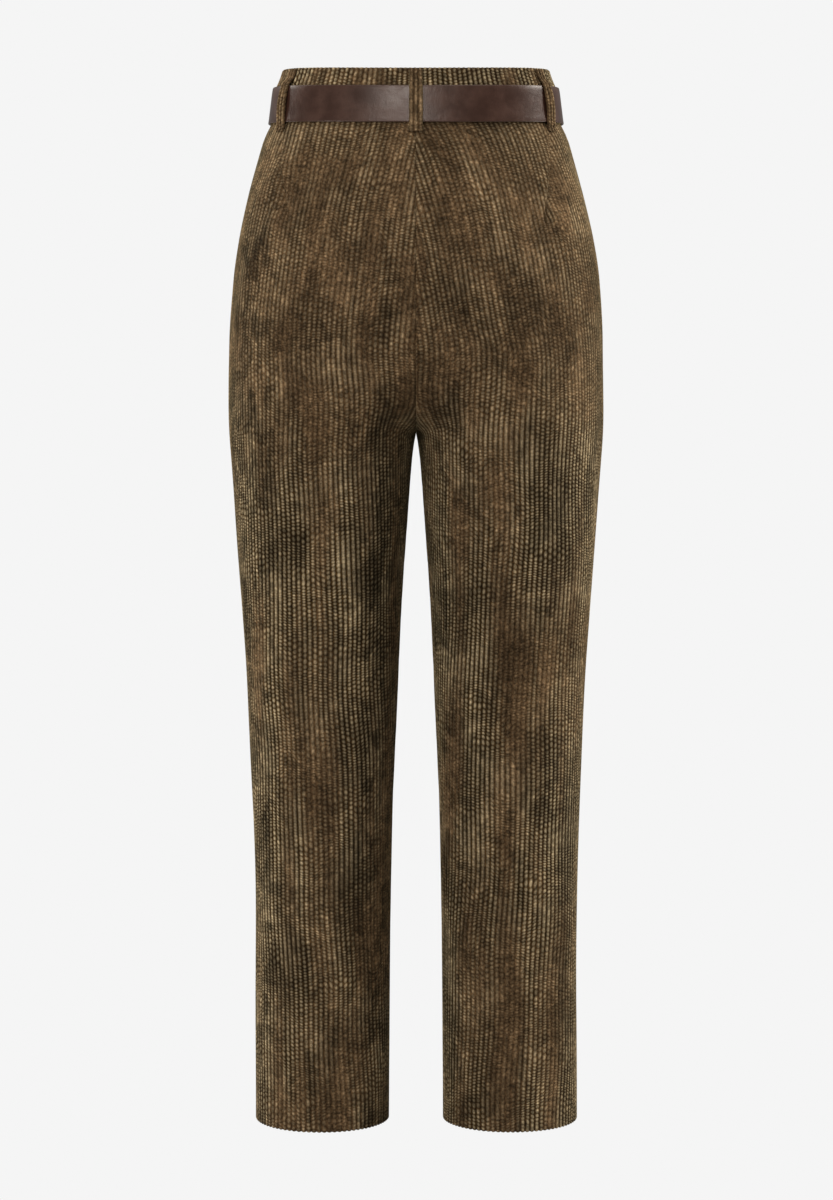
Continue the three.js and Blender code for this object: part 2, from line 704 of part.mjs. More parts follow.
const FLY_TOP = -14;
const FLY_END = -165;
addSolid('fly_facing', patch(6.5, 38, FLY_TOP, FLY_END, 2.8, 4.1), CORDUROY);
addSolid('fly_shield', patch(-32, 18, FLY_TOP, FLY_END, 6.9, 8.3), CORDUROY);

// Fly zip.
// It is shown closed, with the slider at the top.
const SLIDER_TOP = -16;
const SLIDER_LONG = 11;
addSolid('zip_tape_right', patch(3.2, 15, FLY_TOP, FLY_END, 4.6, 5.4, 1), TAPE);
addSolid('zip_tape_left', patch(-15, -3.2, FLY_TOP, FLY_END, 4.6, 5.4, 1), TAPE);

function zipTeeth() {
  const top = SLIDER_TOP - SLIDER_LONG * 0.55;
  const pitch = 7;
  const count = Math.floor((top - FLY_END - 4) / pitch);
  const stations = [];
  for (let tooth = 0; tooth <= count; tooth += 1) {
    for (const [down, half] of [[0, 2.9], [0.5, 2.1]]) {
      const z = top - (tooth + down) * pitch;
      const y = frontDepth(0, z);
      stations.push([[-half, y - 4.4, z], [half, y - 4.4, z], [half, y - 5.6, z], [-half, y - 5.6, z]]);
    }
  }
  addSolid('zip_teeth', sweep(stations), METAL);
}

zipTeeth();

function zipSlider() {
  const bottom = SLIDER_TOP - SLIDER_LONG;
  const block = (half, near, deep, top, end) => toSolid(patch(-half, half, top, end, near, deep, 1));
  const slider = block(4, 3.4, 4.1, SLIDER_TOP, bottom)
    .add(block(4, 5.8, 6.5, SLIDER_TOP, bottom))
    .add(block(1.2, 4, 6, SLIDER_TOP, SLIDER_TOP - SLIDER_LONG * 0.5))
    .add(block(2.3, 2.75, 3.5, SLIDER_TOP - 3, SLIDER_TOP - 26));
  addSolid('zip_slider', toGeometry(slider), METAL);
}

zipSlider();

// Waistband hook and bar.
// The hook is on the inside of the lap, the bar on the outside of the underlap, and they hold each other.
const HOOK_NEAR = BAND_THICK + CLEAR;
const HOOK_PLATE = 0.8;
const hookPlate = toSolid(patch(8, 20, 22, 10, HOOK_NEAR, HOOK_NEAR + HOOK_PLATE, 1));
const hookLip = toSolid(patch(7.2, 8.4, 22, 10, HOOK_NEAR, HOOK_NEAR + 1.9, 1));
addSolid('waist_hook', toGeometry(hookPlate.add(hookLip)), METAL);
const barNear = HOOK_NEAR + HOOK_PLATE + 0.3;
addSolid('waist_bar', patch(8.8, 20, 21, 11, barNear, barNear + HOOK_PLATE, 1), METAL);

export default trousers;
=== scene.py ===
import math

import bpy
import numpy as np
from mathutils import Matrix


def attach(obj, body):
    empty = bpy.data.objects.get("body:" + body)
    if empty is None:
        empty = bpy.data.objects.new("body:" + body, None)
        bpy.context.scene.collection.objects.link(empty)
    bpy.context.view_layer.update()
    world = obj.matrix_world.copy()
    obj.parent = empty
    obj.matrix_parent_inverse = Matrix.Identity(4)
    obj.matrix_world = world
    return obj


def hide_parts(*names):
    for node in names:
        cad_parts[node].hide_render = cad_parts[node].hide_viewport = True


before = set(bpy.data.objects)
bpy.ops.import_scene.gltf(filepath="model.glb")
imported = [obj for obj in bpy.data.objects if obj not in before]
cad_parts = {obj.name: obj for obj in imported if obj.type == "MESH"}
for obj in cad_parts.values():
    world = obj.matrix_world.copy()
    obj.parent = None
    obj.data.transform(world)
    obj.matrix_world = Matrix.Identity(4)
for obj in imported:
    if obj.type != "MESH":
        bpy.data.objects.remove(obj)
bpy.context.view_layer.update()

# Camera.
# It stands behind the wearer, a little under hip height, and looks slightly down.
FOCAL_PIXELS = 3077.0
FRAME_HEIGHT = 1200.0
CAMERA_PLACE = (0.0005, -3.045, -0.223)
CAMERA_DOWN = 4.844
camera = bpy.data.objects.new("camera", bpy.data.cameras.new("camera"))
bpy.context.scene.collection.objects.link(camera)
camera.location = CAMERA_PLACE
camera.rotation_euler = (math.radians(90 - CAMERA_DOWN), 0, 0)
camera.data.sensor_width = 36
camera.data.lens = 36 * FOCAL_PIXELS / FRAME_HEIGHT
bpy.context.scene.camera = camera

# Trouser panels.
# Four pieces of wide corduroy, two backs with a waist dart each and two fronts, sewn along the
# centre, side and inner leg seams, with the hem turned up inside.
WALE = 5.0  # millimetres, as all lengths here until a mesh is made
WALE_RISE = 1.0
PER_WALE = 8
CLOTH = 2.3
WAIST_SEAM = -12.0
SEAT_LEVEL = -225.0
CROTCH_DROP = 91.0
CROTCH = SEAT_LEVEL - CROTCH_DROP
HEM = -1004.0
HEM_ALLOWANCE = 36.0
SIDE_RISE = 4.0
SQUARENESS = 2.25

# Height, half width, back depth and front depth.
SEAT = [
    (35, 130.5, 88, 86),
    (26, 133.5, 90, 88),
    (17.5, 137, 91.8, 90),
    (0, 139.4, 94, 92),
    (-17.5, 141.9, 96.6, 94),
    (-21, 143.2, 98, 95),
    (-31, 148.4, 102, 98),
    (-48, 153.8, 106, 101),
    (-87, 164.8, 113.5, 105),
    (-126, 173.8, 119, 107.5),
    (-165, 179.9, 122.5, 108.5),
    (-225, 184, 123, 108),
    (-310, 184.6, 119, 104),
]
# Height, outer half width, inner half width, back depth and front depth.
LEG = [
    (-225, 184, 0, 166, 158),
    (-276, 184.4, 0, 153, 148),
    (-290, 184.5, 0, 137, 123),
    (-296, 184.6, 0, 129, 115),
    (-305, 184.6, 0, 118, 104),
    (-316, 184.3, 0, 107.8, 94.8),
    (-322, 183.9, 1.3, 107, 94),
    (-328, 183.5, 2.2, 106.3, 93.3),
    (-342, 182.5, 3.9, 104.7, 91.7),
    (-402, 178.9, 8.4, 95.5, 85),
    (-491, 172.4, 14.4, 84, 77),
    (-581, 167.3, 18.4, 76, 72),
    (-702, 162.4, 23.5, 68, 67),
    (-823, 160.9, 25.6, 64, 64.5),
    (-945, 161.4, 26.7, 62.5, 63.5),
    (-1004, 161.8, 27, 62, 63),
]
# For each kind of panel, height and how far out one unbroken wale in its middle runs.
GRAIN = {
    "back_right": [
        (-12, 78), (-30, 87), (-60, 98), (-100, 109), (-150, 120),
        (-200, 128), (-250, 133), (-320, 133), (-640, 126), (-1004, 118),
    ],
    "back_left": [
        (-12, 99), (-30, 104), (-60, 111), (-100, 118), (-150, 124),
        (-200, 129), (-250, 132), (-320, 132), (-640, 126), (-1004, 118),
    ],
    "front": [(-12, 92), (-200, 100), (-1004, 96)],
}
MIDDLE_WALE = 150.0
DART = {"length": 100.0, "gap": 22.0, "top": 50.0, "tip": 105.0, "deep": 1.2, "wide": 2.4}
SEAM = {"deep": 1.3, "wide": 2.8}
HALF_ROUND = 560  # millimetres that the drape counts from the centre back to the centre front
# Side, place round the panel, height, half length, half width, slant in degrees and rise of each soft fold.
FOLDS = [
    (-1, 0.3, -64, 48, 12, -32, 2.6),
    (-1, 0.27, -92, 48, 13, -32, -2.2),
    (-1, 0.34, -150, 60, 16, -60, 1.8),
    (-1, 0.08, -205, 40, 14, 20, 2.2),
    (1, 0.14, -236, 40, 9, -14, 1.8),
    (1, 0.15, -258, 40, 9, -20, -1.8),
    (1, 0.16, -282, 40, 9, -28, 1.6),
    (1, 0.3, -120, 60, 18, 70, 1.6),
    (1, 0.17, -345, 80, 34, 90, 2.5),
    (1, 0.3, -385, 90, 39, 90, -2.5),
    (-1, 0.15, -355, 80, 30, 90, 2.5),
    (-1, 0.27, -420, 90, 34, 90, -3),
    (1, 0.22, -640, 60, 45, 90, 2.5),
    (-1, 0.2, -700, 110, 45, 90, 2.5),
    (1, 0.78, -430, 120, 42, 90, 2.5),
    (-1, 0.78, -450, 120, 42, 90, 2.5),
]


def reading(table, column, z):
    """One column of a table at any height, on a smooth curve through its rows."""
    rows = np.array(table, float)[::-1]
    at, value = rows[:, 0], rows[:, column]
    slope = np.diff(value) / np.diff(at)
    both = slope[:-1] * slope[1:]
    total = np.where(both > 0, slope[:-1] + slope[1:], 1)
    gentle = np.concatenate([slope[:1], np.where(both > 0, 2 * both / total, 0), slope[-1:]])
    z = np.clip(z, at[0], at[-1])
    row = np.clip(np.searchsorted(at, z) - 1, 0, len(at) - 2)
    step = at[row + 1] - at[row]
    t = (z - at[row]) / step
    start, end = gentle[row] * step, gentle[row + 1] * step
    rise = value[row + 1] - value[row]
    return value[row] + t * (start + t * (3 * rise - 2 * start - end + t * (start + end - 2 * rise)))


def smooth_step(start, end, value):
    t = np.clip((value - start) / (end - start), 0, 1)
    return t * t * (3 - 2 * t)


def seat_ring(turn, z):
    """Half of the waist or seat section, from the centre back, turn 0, to the centre front, turn 1."""
    power = 2 / SQUARENESS
    across = np.abs(np.sin(np.pi * turn)) ** power
    along = np.abs(np.cos(np.pi * turn)) ** power
    depth = np.where(turn < 0.5, -reading(SEAT, 2, z), reading(SEAT, 3, z))
    return reading(SEAT, 1, z) * across, depth * along


def leg_ring(turn, z):
    """One leg's section, from the inseam round the back, side and front to the inseam."""
    wide, inner = reading(LEG, 1, z), reading(LEG, 2, z)
    depth = np.where(turn < 0.5, reading(LEG, 3, z), reading(LEG, 4, z))
    angle = 2 * np.pi * turn
    return (wide + inner) / 2 - (wide - inner) / 2 * np.cos(angle), -depth * np.sin(angle)


def waist_rise(turn, z):
    """The waist's lift at the sides, which fades out towards the hips."""
    return SIDE_RISE * np.sin(np.pi * turn) ** 2 * np.clip((z + 110) / 90, 0, 1)


def outside(level, turn):
    """The right half's outside: level 0 to 1 is waist to seat, 1 to 2 the crotch, 2 to 3 the leg."""
    level, turn = np.broadcast_arrays(np.asarray(level, float), np.asarray(turn, float))
    angle = np.clip(level - 1, 0, 1) * np.pi / 2
    near = np.cos(np.pi * turn) ** 2
    upper = WAIST_SEAM + (SEAT_LEVEL - WAIST_SEAM) * level
    middle = SEAT_LEVEL - CROTCH_DROP * (near * np.sin(angle) + (1 - near) * np.clip(level - 1, 0, 1))
    lower = CROTCH + (HEM - CROTCH) * (level - 2)
    z = np.where(level <= 1, upper, np.where(level < 2, middle, lower))
    ring_x, ring_y = seat_ring(turn, z)
    leg_x, leg_y = leg_ring(turn, z)
    share = np.where(level <= 1, 0, np.where(level < 2, 1 - np.cos(angle), 1))
    x = ring_x + (leg_x - ring_x) * share
    y = ring_y + (leg_y - ring_y) * share
    return np.stack([x, y, z + np.where(level <= 1, waist_rise(turn, z), 0)], axis=-1)


def outward(level, turn):
    """The level direction straight out of the cloth."""
    before = outside(level, np.maximum(turn - 0.004, 0))
    after = outside(level, np.minimum(turn + 0.004, 1))
    along = after[..., :2] - before[..., :2]
    along /= np.linalg.norm(along, axis=-1, keepdims=True)
    return np.stack([along[..., 1], -along[..., 0]], axis=-1)


def hung(level, turn):
    """The plain form, with the change from seat to leg softened away from the seams."""
    level, turn = np.broadcast_arrays(np.asarray(level, float), np.asarray(turn, float))
    steps, walks = [0, 1, 2, 3], [0, 213, 313, 1002]  # the millimetres walked down at each level
    walk = np.interp(level, steps, walks)
    total, weights = 0, 0
    for shift in np.arange(-40, 41, 8):
        weight = math.exp(-((shift / 22) ** 2))
        total = total + weight * outside(np.interp(walk + shift, walks, steps), turn)
        weights += weight
    from_seam = np.minimum(turn, 1 - turn)
    soft = smooth_step(110, 60, np.abs(walk - walks[2])) * (1 - np.exp(-((from_seam / 0.05) ** 2)))
    plain = outside(level, turn)
    return plain + (total / weights - plain) * soft[..., None]


def level_at(z):
    """The level of a height above the seat or below the crotch."""
    z = np.asarray(z, float)
    upper = (z - WAIST_SEAM) / (SEAT_LEVEL - WAIST_SEAM)
    return np.where(z > SEAT_LEVEL, upper, 2 + (z - CROTCH) / (HEM - CROTCH))


def uneven(x, y, longest, shortest, seed):
    """A smooth uneven field from -1 to 1, made of a few waves that cross each other."""
    dice = np.random.default_rng(seed)
    total = 0
    for wave in np.geomspace(longest, shortest, 7):
        way = dice.uniform(0, 2 * np.pi)
        total = total + np.sin(2 * np.pi * (x * np.cos(way) + y * np.sin(way)) / wave + dice.uniform(0, 6.28))
    return total / 7


def drape(side, turn, z):
    """How far the hanging cloth stands off its plain form. It fades out towards the centre and inseams."""
    out = 1.2 * uneven(turn * HALF_ROUND, z, 260, 110, 5 + side) * np.clip((-z - 25) / 60, 0, 1)
    for fold_side, at, height, half_long, half_wide, slant, rise in FOLDS:
        if fold_side == side:
            round_way, up_way = math.cos(math.radians(slant)), math.sin(math.radians(slant))
            off, above = (turn - at) * HALF_ROUND, z - height
            far = ((off * round_way + above * up_way) / half_long) ** 2
            far = far + ((above * round_way - off * up_way) / half_wide) ** 2
            out = out + rise * np.exp(-far)
    return out * np.clip(turn / 0.08, 0, 1) * np.clip((1 - turn) / 0.16, 0, 1)


def seam_way(level, end):
    """The direction straight out of the centre seam, within the seam's own plane."""
    along = outside(np.minimum(level + 0.01, 1.999), end) - outside(np.clip(level - 0.01, 0, 1.98), end)
    way = np.stack([0 * along[..., 0], along[..., 2], -along[..., 1]], axis=-1)
    return way / np.linalg.norm(way, axis=-1, keepdims=True) * (1 if end == 0 else -1)


def sewn_rows(upper, upper_keys, lower, lower_keys):
    """Triangles between two rows of points, walked in the order of their keys."""
    faces = []
    i = j = 0
    while i < len(upper) - 1 or j < len(lower) - 1:
        step_upper = j == len(lower) - 1 or (i < len(upper) - 1 and upper_keys[i + 1] <= lower_keys[j + 1])
        third = upper[i + 1] if step_upper else lower[j + 1]
        faces.append((upper[i], lower[j], third))
        i, j = (i + 1, j) if step_upper else (i, j + 1)
    return faces


def grid_faces(ids):
    """Faces of a grid of point numbers, without those that have shrunk to nothing."""
    a, b, c, d = ids[:-1, :-1], ids[:-1, 1:], ids[1:, 1:], ids[1:, :-1]
    whole = (a != b) & (c != d)
    quads = np.stack([a, d, c, b], axis=-1)[whole].tolist()
    upper = np.stack([a, c, b], axis=-1)[(a != b) & (c == d)].tolist()
    lower = np.stack([a, d, c], axis=-1)[(a == b) & (c != d)].tolist()
    return quads + upper + lower


def numbered(points, first=0):
    """Point numbers for a grid of points."""
    return first + np.arange(points.shape[0] * points.shape[1]).reshape(points.shape[:2])


def shell_faces(ids, top, bottom, down, inner_ids, inner_across, inner_down):
    """Faces of an outer and an inner grid with the rims sewn between them, and their material numbers.

    Top and bottom are the outer grid's end rows with their keys.
    """
    faces = grid_faces(ids)
    outer_count = len(faces)
    faces += [face[::-1] for face in grid_faces(inner_ids)]
    inner_end = len(faces)
    faces += [face[::-1] for face in sewn_rows(*top, inner_ids[0], inner_across)]
    faces += sewn_rows(*bottom, inner_ids[-1], inner_across)
    faces += sewn_rows(ids[:, 0], down, inner_ids[:, 0], inner_down)
    faces += [face[::-1] for face in sewn_rows(ids[:, -1], down, inner_ids[:, -1], inner_down)]
    kinds = np.zeros(len(faces), int)
    kinds[outer_count:inner_end] = 1
    return faces, kinds


def walked(points, axis=0):
    """The length walked to each point, along one way of a grid of points."""
    steps = np.linalg.norm(np.diff(points, axis=axis), axis=-1)
    return np.insert(np.cumsum(steps, axis=axis), 0, 0, axis=axis)


def wale_dip(count):
    """How far down the side of its wale a place lies, from 0 on the crest to 1 in the valley."""
    return np.abs(2 * (count % 1) - 1) ** 1.8


def mesh_piece(name, points, faces, materials, face_materials=None, grain=None):
    """A smooth closed object of millimetre points on the root body, with the cloth's grain as its UV map."""
    used, packed = np.unique(np.concatenate([np.asarray(face) for face in faces]), return_inverse=True)
    points = np.asarray(points, float)[used] * 0.001
    lengths = np.array([len(face) for face in faces])
    starts = np.concatenate([[0], np.cumsum(lengths)[:-1]])
    corner = points[packed]
    first, second, third = corner[starts], corner[starts + 1], corner[starts + 2]
    volume = np.sum(first * np.cross(second, third))
    last = corner[starts + lengths - 1]
    volume += np.sum((first * np.cross(third, last))[lengths == 4])
    if volume < 0:
        packed = np.concatenate([packed[at : at + many][::-1] for at, many in zip(starts, lengths)])
    mesh = bpy.data.meshes.new(name)
    mesh.vertices.add(len(used))
    mesh.vertices.foreach_set("co", points.ravel())
    mesh.loops.add(len(packed))
    mesh.loops.foreach_set("vertex_index", packed)
    mesh.polygons.add(len(lengths))
    mesh.polygons.foreach_set("loop_start", starts)
    mesh.polygons.foreach_set("use_smooth", np.ones(len(lengths), bool))
    for material in materials:
        mesh.materials.append(material)
    if face_materials is not None:
        mesh.polygons.foreach_set("material_index", np.asarray(face_materials))
    if grain is not None:
        layer = mesh.uv_layers.new(name="grain")
        layer.data.foreach_set("uv", (np.asarray(grain, float)[used][packed] * 0.001).ravel())
    mesh.update()
    mesh.validate()
    piece = bpy.data.objects.new(name, mesh)
    bpy.context.scene.collection.objects.link(piece)
    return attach(piece, "root")


def put(tree, kind, inputs, output=0, **settings):
    """Adds a shader node with its inputs set or linked, and gives one output."""
    node = tree.nodes.new(kind)
    for key, value in settings.items():
        setattr(node, key, value)
    for socket, value in inputs.items():
        if isinstance(value, bpy.types.NodeSocket):
            tree.links.new(value, node.inputs[socket])
        else:
            node.inputs[socket].default_value = value
    return node.outputs[output]


def calc(tree, operation, a, b=0.0, c=0.0):
    return put(tree, "ShaderNodeMath", {0: a, 1: b, 2: c}, operation=operation)


def blend(tree, share, a, b, blend_type="MIX"):
    """Mixes two colours."""
    return put(tree, "ShaderNodeMix", {0: share, 6: a, 7: b}, 2, data_type="RGBA", blend_type=blend_type)


def ramp(tree, value, low, high, out_low=0.0, out_high=1.0):
    """A smooth step from one value to another."""
    inputs = {0: value, 1: low, 2: high, 3: out_low, 4: out_high}
    return put(tree, "ShaderNodeMapRange", inputs, interpolation_type="SMOOTHSTEP")


def times(tree, value, *others):
    """Multiplies values, one after the other."""
    for other in others:
        value = calc(tree, "MULTIPLY", value, other)
    return value


def noise(tree, place, scale, detail, **settings):
    return put(tree, "ShaderNodeTexNoise", {"Vector": place, "Scale": scale, "Detail": detail, **settings})


def grain_of(tree):
    """The map of the cloth or leather as it was cut, and its parts across and along, in metres."""
    grain = put(tree, "ShaderNodeUVMap", {}, uv_map="grain")
    return grain, *parts_of(tree, grain)[:2]


def parts_of(tree, vector):
    """The x, y and z of a vector."""
    node = tree.nodes.new("ShaderNodeSeparateXYZ")
    tree.links.new(vector, node.inputs[0])
    return node.outputs[:]


def finish_of(name, roughness, specular, **surface):
    """A new material and its tree. The shader's further values are given by their names."""
    material = bpy.data.materials.new(name)
    material.use_nodes = True
    shader = material.node_tree.nodes["Principled BSDF"]
    shader.inputs["Roughness"].default_value = roughness
    shader.inputs["Specular IOR Level"].default_value = specular
    for socket, value in surface.items():
        shader.inputs[socket.replace("_", " ").title()].default_value = value
    return material, material.node_tree


def finished(material, colour, bump=None, roughness=None):
    """Links a material's colour, its bump, as height, strength and distance, and its roughness."""
    tree = material.node_tree
    inputs = tree.nodes["Principled BSDF"].inputs
    tree.links.new(colour, inputs["Base Color"])
    if bump is not None:
        normal = put(tree, "ShaderNodeBump", dict(zip(("Height", "Strength", "Distance"), bump)))
        tree.links.new(normal, inputs["Normal"])
    if roughness is not None:
        tree.links.new(roughness, inputs["Roughness"])
    return material


TUFT = 0.0037  # from one tuft to the next along a wale, in metres


# light makes a copy's crests lighter, as painted light. upright is the share of painted crest highlight and
# valley shade on the upper part, and the legs get all of it.
def corduroy_finish(name, patch_seed, light=1.0, upright=0.4):
    """Brown pile on raised wales: tufted crests, patches where the pile lies another way, painted shade in
    the valleys, painted highlights on the crests in streaky zones, and painted shade at the left edge and
    between the legs.
    """
    sheen = {"sheen_weight": 0.3, "sheen_roughness": 0.3, "sheen_tint": (0.88, 0.74, 0.4, 1)}
    material, tree = finish_of(name, 0.9, 0.03, **sheen)
    grain, over, along = grain_of(tree)

    def field(scale, stretch, detail, shift=0.0, **settings):
        """A noise over the cloth, drawn out along the wales."""
        away = (patch_seed + shift, patch_seed * 0.7, shift)
        place = put(tree, "ShaderNodeVectorMath", {0: grain, 1: (1.0, stretch, 1.0)}, operation="MULTIPLY")
        place = put(tree, "ShaderNodeVectorMath", {0: place, 1: away}, operation="ADD")
        return noise(tree, place, scale, detail, **settings)

    def off_middle(value):
        """From 0 midway between two whole numbers to 1 at each of them."""
        return calc(tree, "ABSOLUTE", calc(tree, "MULTIPLY_ADD", calc(tree, "FRACT", value), 2.0, -1.0))

    count = calc(tree, "DIVIDE", over, WALE * 0.001)
    wale = calc(tree, "FLOOR", count)
    off_crest = off_middle(count)
    start = put(tree, "ShaderNodeTexWhiteNoise", {"W": wale}, noise_dimensions="1D")
    drift = calc(tree, "MULTIPLY_ADD", wale, 0.5, times(tree, field(26.0, 1.0, 1.0), 7.0))
    wander = calc(tree, "MULTIPLY_ADD", start, 0.5, drift)
    run = calc(tree, "ADD", calc(tree, "DIVIDE", along, TUFT), wander)
    cell = put(tree, "ShaderNodeCombineXYZ", {0: wale, 1: calc(tree, "FLOOR", run), 2: patch_seed})
    speck = put(tree, "ShaderNodeTexWhiteNoise", {"Vector": cell}, noise_dimensions="3D")
    fuzz = field(430.0, 0.85, 2.0, Roughness=0.7)
    low_down = ramp(tree, along, 0.2, 0.42)
    seat_zones = field(27.0, 0.5, 3.0, 1.0, Distortion=0.5)
    leg_zones = field(23.0, 0.15, 3.0, 5.0, Distortion=0.2)
    leg_change = times(tree, low_down, calc(tree, "SUBTRACT", leg_zones, seat_zones))
    zones = calc(tree, "ADD", seat_zones, leg_change)
    # Zones, streaky on the legs, where the crests get painted highlights and the valleys deeper painted
    # shade. upright is their share on the upper part.
    highlight_and_shade = times(tree, ramp(tree, zones, 0.36, 0.6), ramp(tree, low_down, 0.0, 1.0, upright, 1.0))
    lay = field(24.0, 0.42, 5.0, 2.0, Roughness=0.66, Distortion=0.3)
    mottle = field(130.0, 0.7, 4.0, 4.0, Roughness=0.65)
    by_wale = {0: times(tree, wale, 7.3), 1: times(tree, along, 22.0), 2: patch_seed}
    streak = noise(tree, put(tree, "ShaderNodeCombineXYZ", by_wale), 1.0, 2.0)
    beads = ramp(tree, field(30.0, 0.6, 2.0, 3.0), 0.34, 0.56, 0.25, 1.0)
    # Painted highlight on each tuft: its middle on the crest is lighter, and its ends go towards the valley's
    # painted shade.
    off_tuft = off_middle(run)
    round_tuft = times(tree, off_tuft, off_tuft, beads)
    tuft_part = times(tree, round_tuft, 0.55)
    from_middle = calc(tree, "SQRT", calc(tree, "MULTIPLY_ADD", off_crest, off_crest, tuft_part))
    side = calc(tree, "ADD", from_middle, calc(tree, "MULTIPLY_ADD", fuzz, 0.8, -0.4))
    # Crest and valley colours: the valleys are painted darker as shade. In the highlight zones the crests are
    # painted lighter and the valleys darker still.
    flat_crest = (0.124 * light, 0.081 * light, 0.043 * light, 1)
    crest = blend(tree, highlight_and_shade, flat_crest, (0.262 * light, 0.202 * light, 0.119 * light, 1))
    valley = blend(tree, highlight_and_shade, (0.066, 0.0385, 0.0185, 1), (0.027, 0.0145, 0.0048, 1))
    colour = blend(tree, ramp(tree, side, 0.12, 0.92), crest, valley)
    crushed = ramp(tree, field(52.0, 0.5, 7.0, 6.0, Roughness=0.72, Distortion=0.8), 0.48, 0.57)
    sideways = parts_of(tree, put(tree, "ShaderNodeTexCoord", {}, 3))[0]
    # Painted shade: the crushed-pile patches are made darker at the left edge and, low on the legs, between
    # the legs.
    left_edge_shade = ramp(tree, sideways, -0.155, -0.12, 1.0, 0.0)
    between_legs_shade = times(tree, ramp(tree, sideways, -0.07, -0.04), ramp(tree, sideways, 0.03, 0.06, 1.0, 0.0))
    wear_and_shade = calc(tree, "MAXIMUM", left_edge_shade, times(tree, between_legs_shade, low_down))
    crush_and_shade = times(tree, crushed, calc(tree, "MULTIPLY_ADD", wear_and_shade, 0.42, 0.2))
    bright = times(
        tree,
        ramp(tree, lay, 0.34, 0.66, 0.6, 1.34),
        ramp(tree, streak, 0.3, 0.7, 0.88, 1.12),
        calc(tree, "MULTIPLY_ADD", speck, 0.5, 0.75),
        ramp(tree, mottle, 0.3, 0.7, 0.72, 1.3),
        ramp(tree, fuzz, 0.32, 0.68, 0.5, 1.5),
        calc(tree, "SUBTRACT", 1.12, crush_and_shade),
    )
    tint = put(tree, "ShaderNodeCombineColor", {0: bright, 1: bright, 2: bright})
    height = calc(tree, "MULTIPLY_ADD", fuzz, 0.5, times(tree, round_tuft, -0.7))
    return finished(material, blend(tree, 1.0, colour, tint, "MULTIPLY"), (height, 0.8, 0.0006))


def cloth_back_finish(name):
    """The smooth woven wrong side of the corduroy, a fine twill in flat brown."""
    material, tree = finish_of(name, 0.9, 0.2)
    grain = grain_of(tree)[0]
    turned = put(tree, "ShaderNodeMapping", {"Vector": grain, "Rotation": (0, 0, 0.9)})
    weave = {"Vector": turned, "Scale": 420.0, "Distortion": 1.5, "Detail": 2.0}
    twill = put(tree, "ShaderNodeTexWave", weave, 1)
    colour = blend(tree, twill, (0.07, 0.05, 0.03, 1), (0.13, 0.098, 0.06, 1))
    cloud = times(tree, noise(tree, grain, 40.0, 4.0), 0.5)
    return finished(material, blend(tree, cloud, colour, (0.06, 0.044, 0.028, 1)), (twill, 0.4, 0.0003))


cloth_back = cloth_back_finish("corduroy_wrong_side")
TURNS = 181
INNER_COLUMNS = 44
HEM_TURN = 2.2  # the height over which the hem's fold is rounded
SEAM_GAP = 0.3  # nearer than this to a seam no column runs on
SWAY = 3.0  # how far the wales wander from side to side


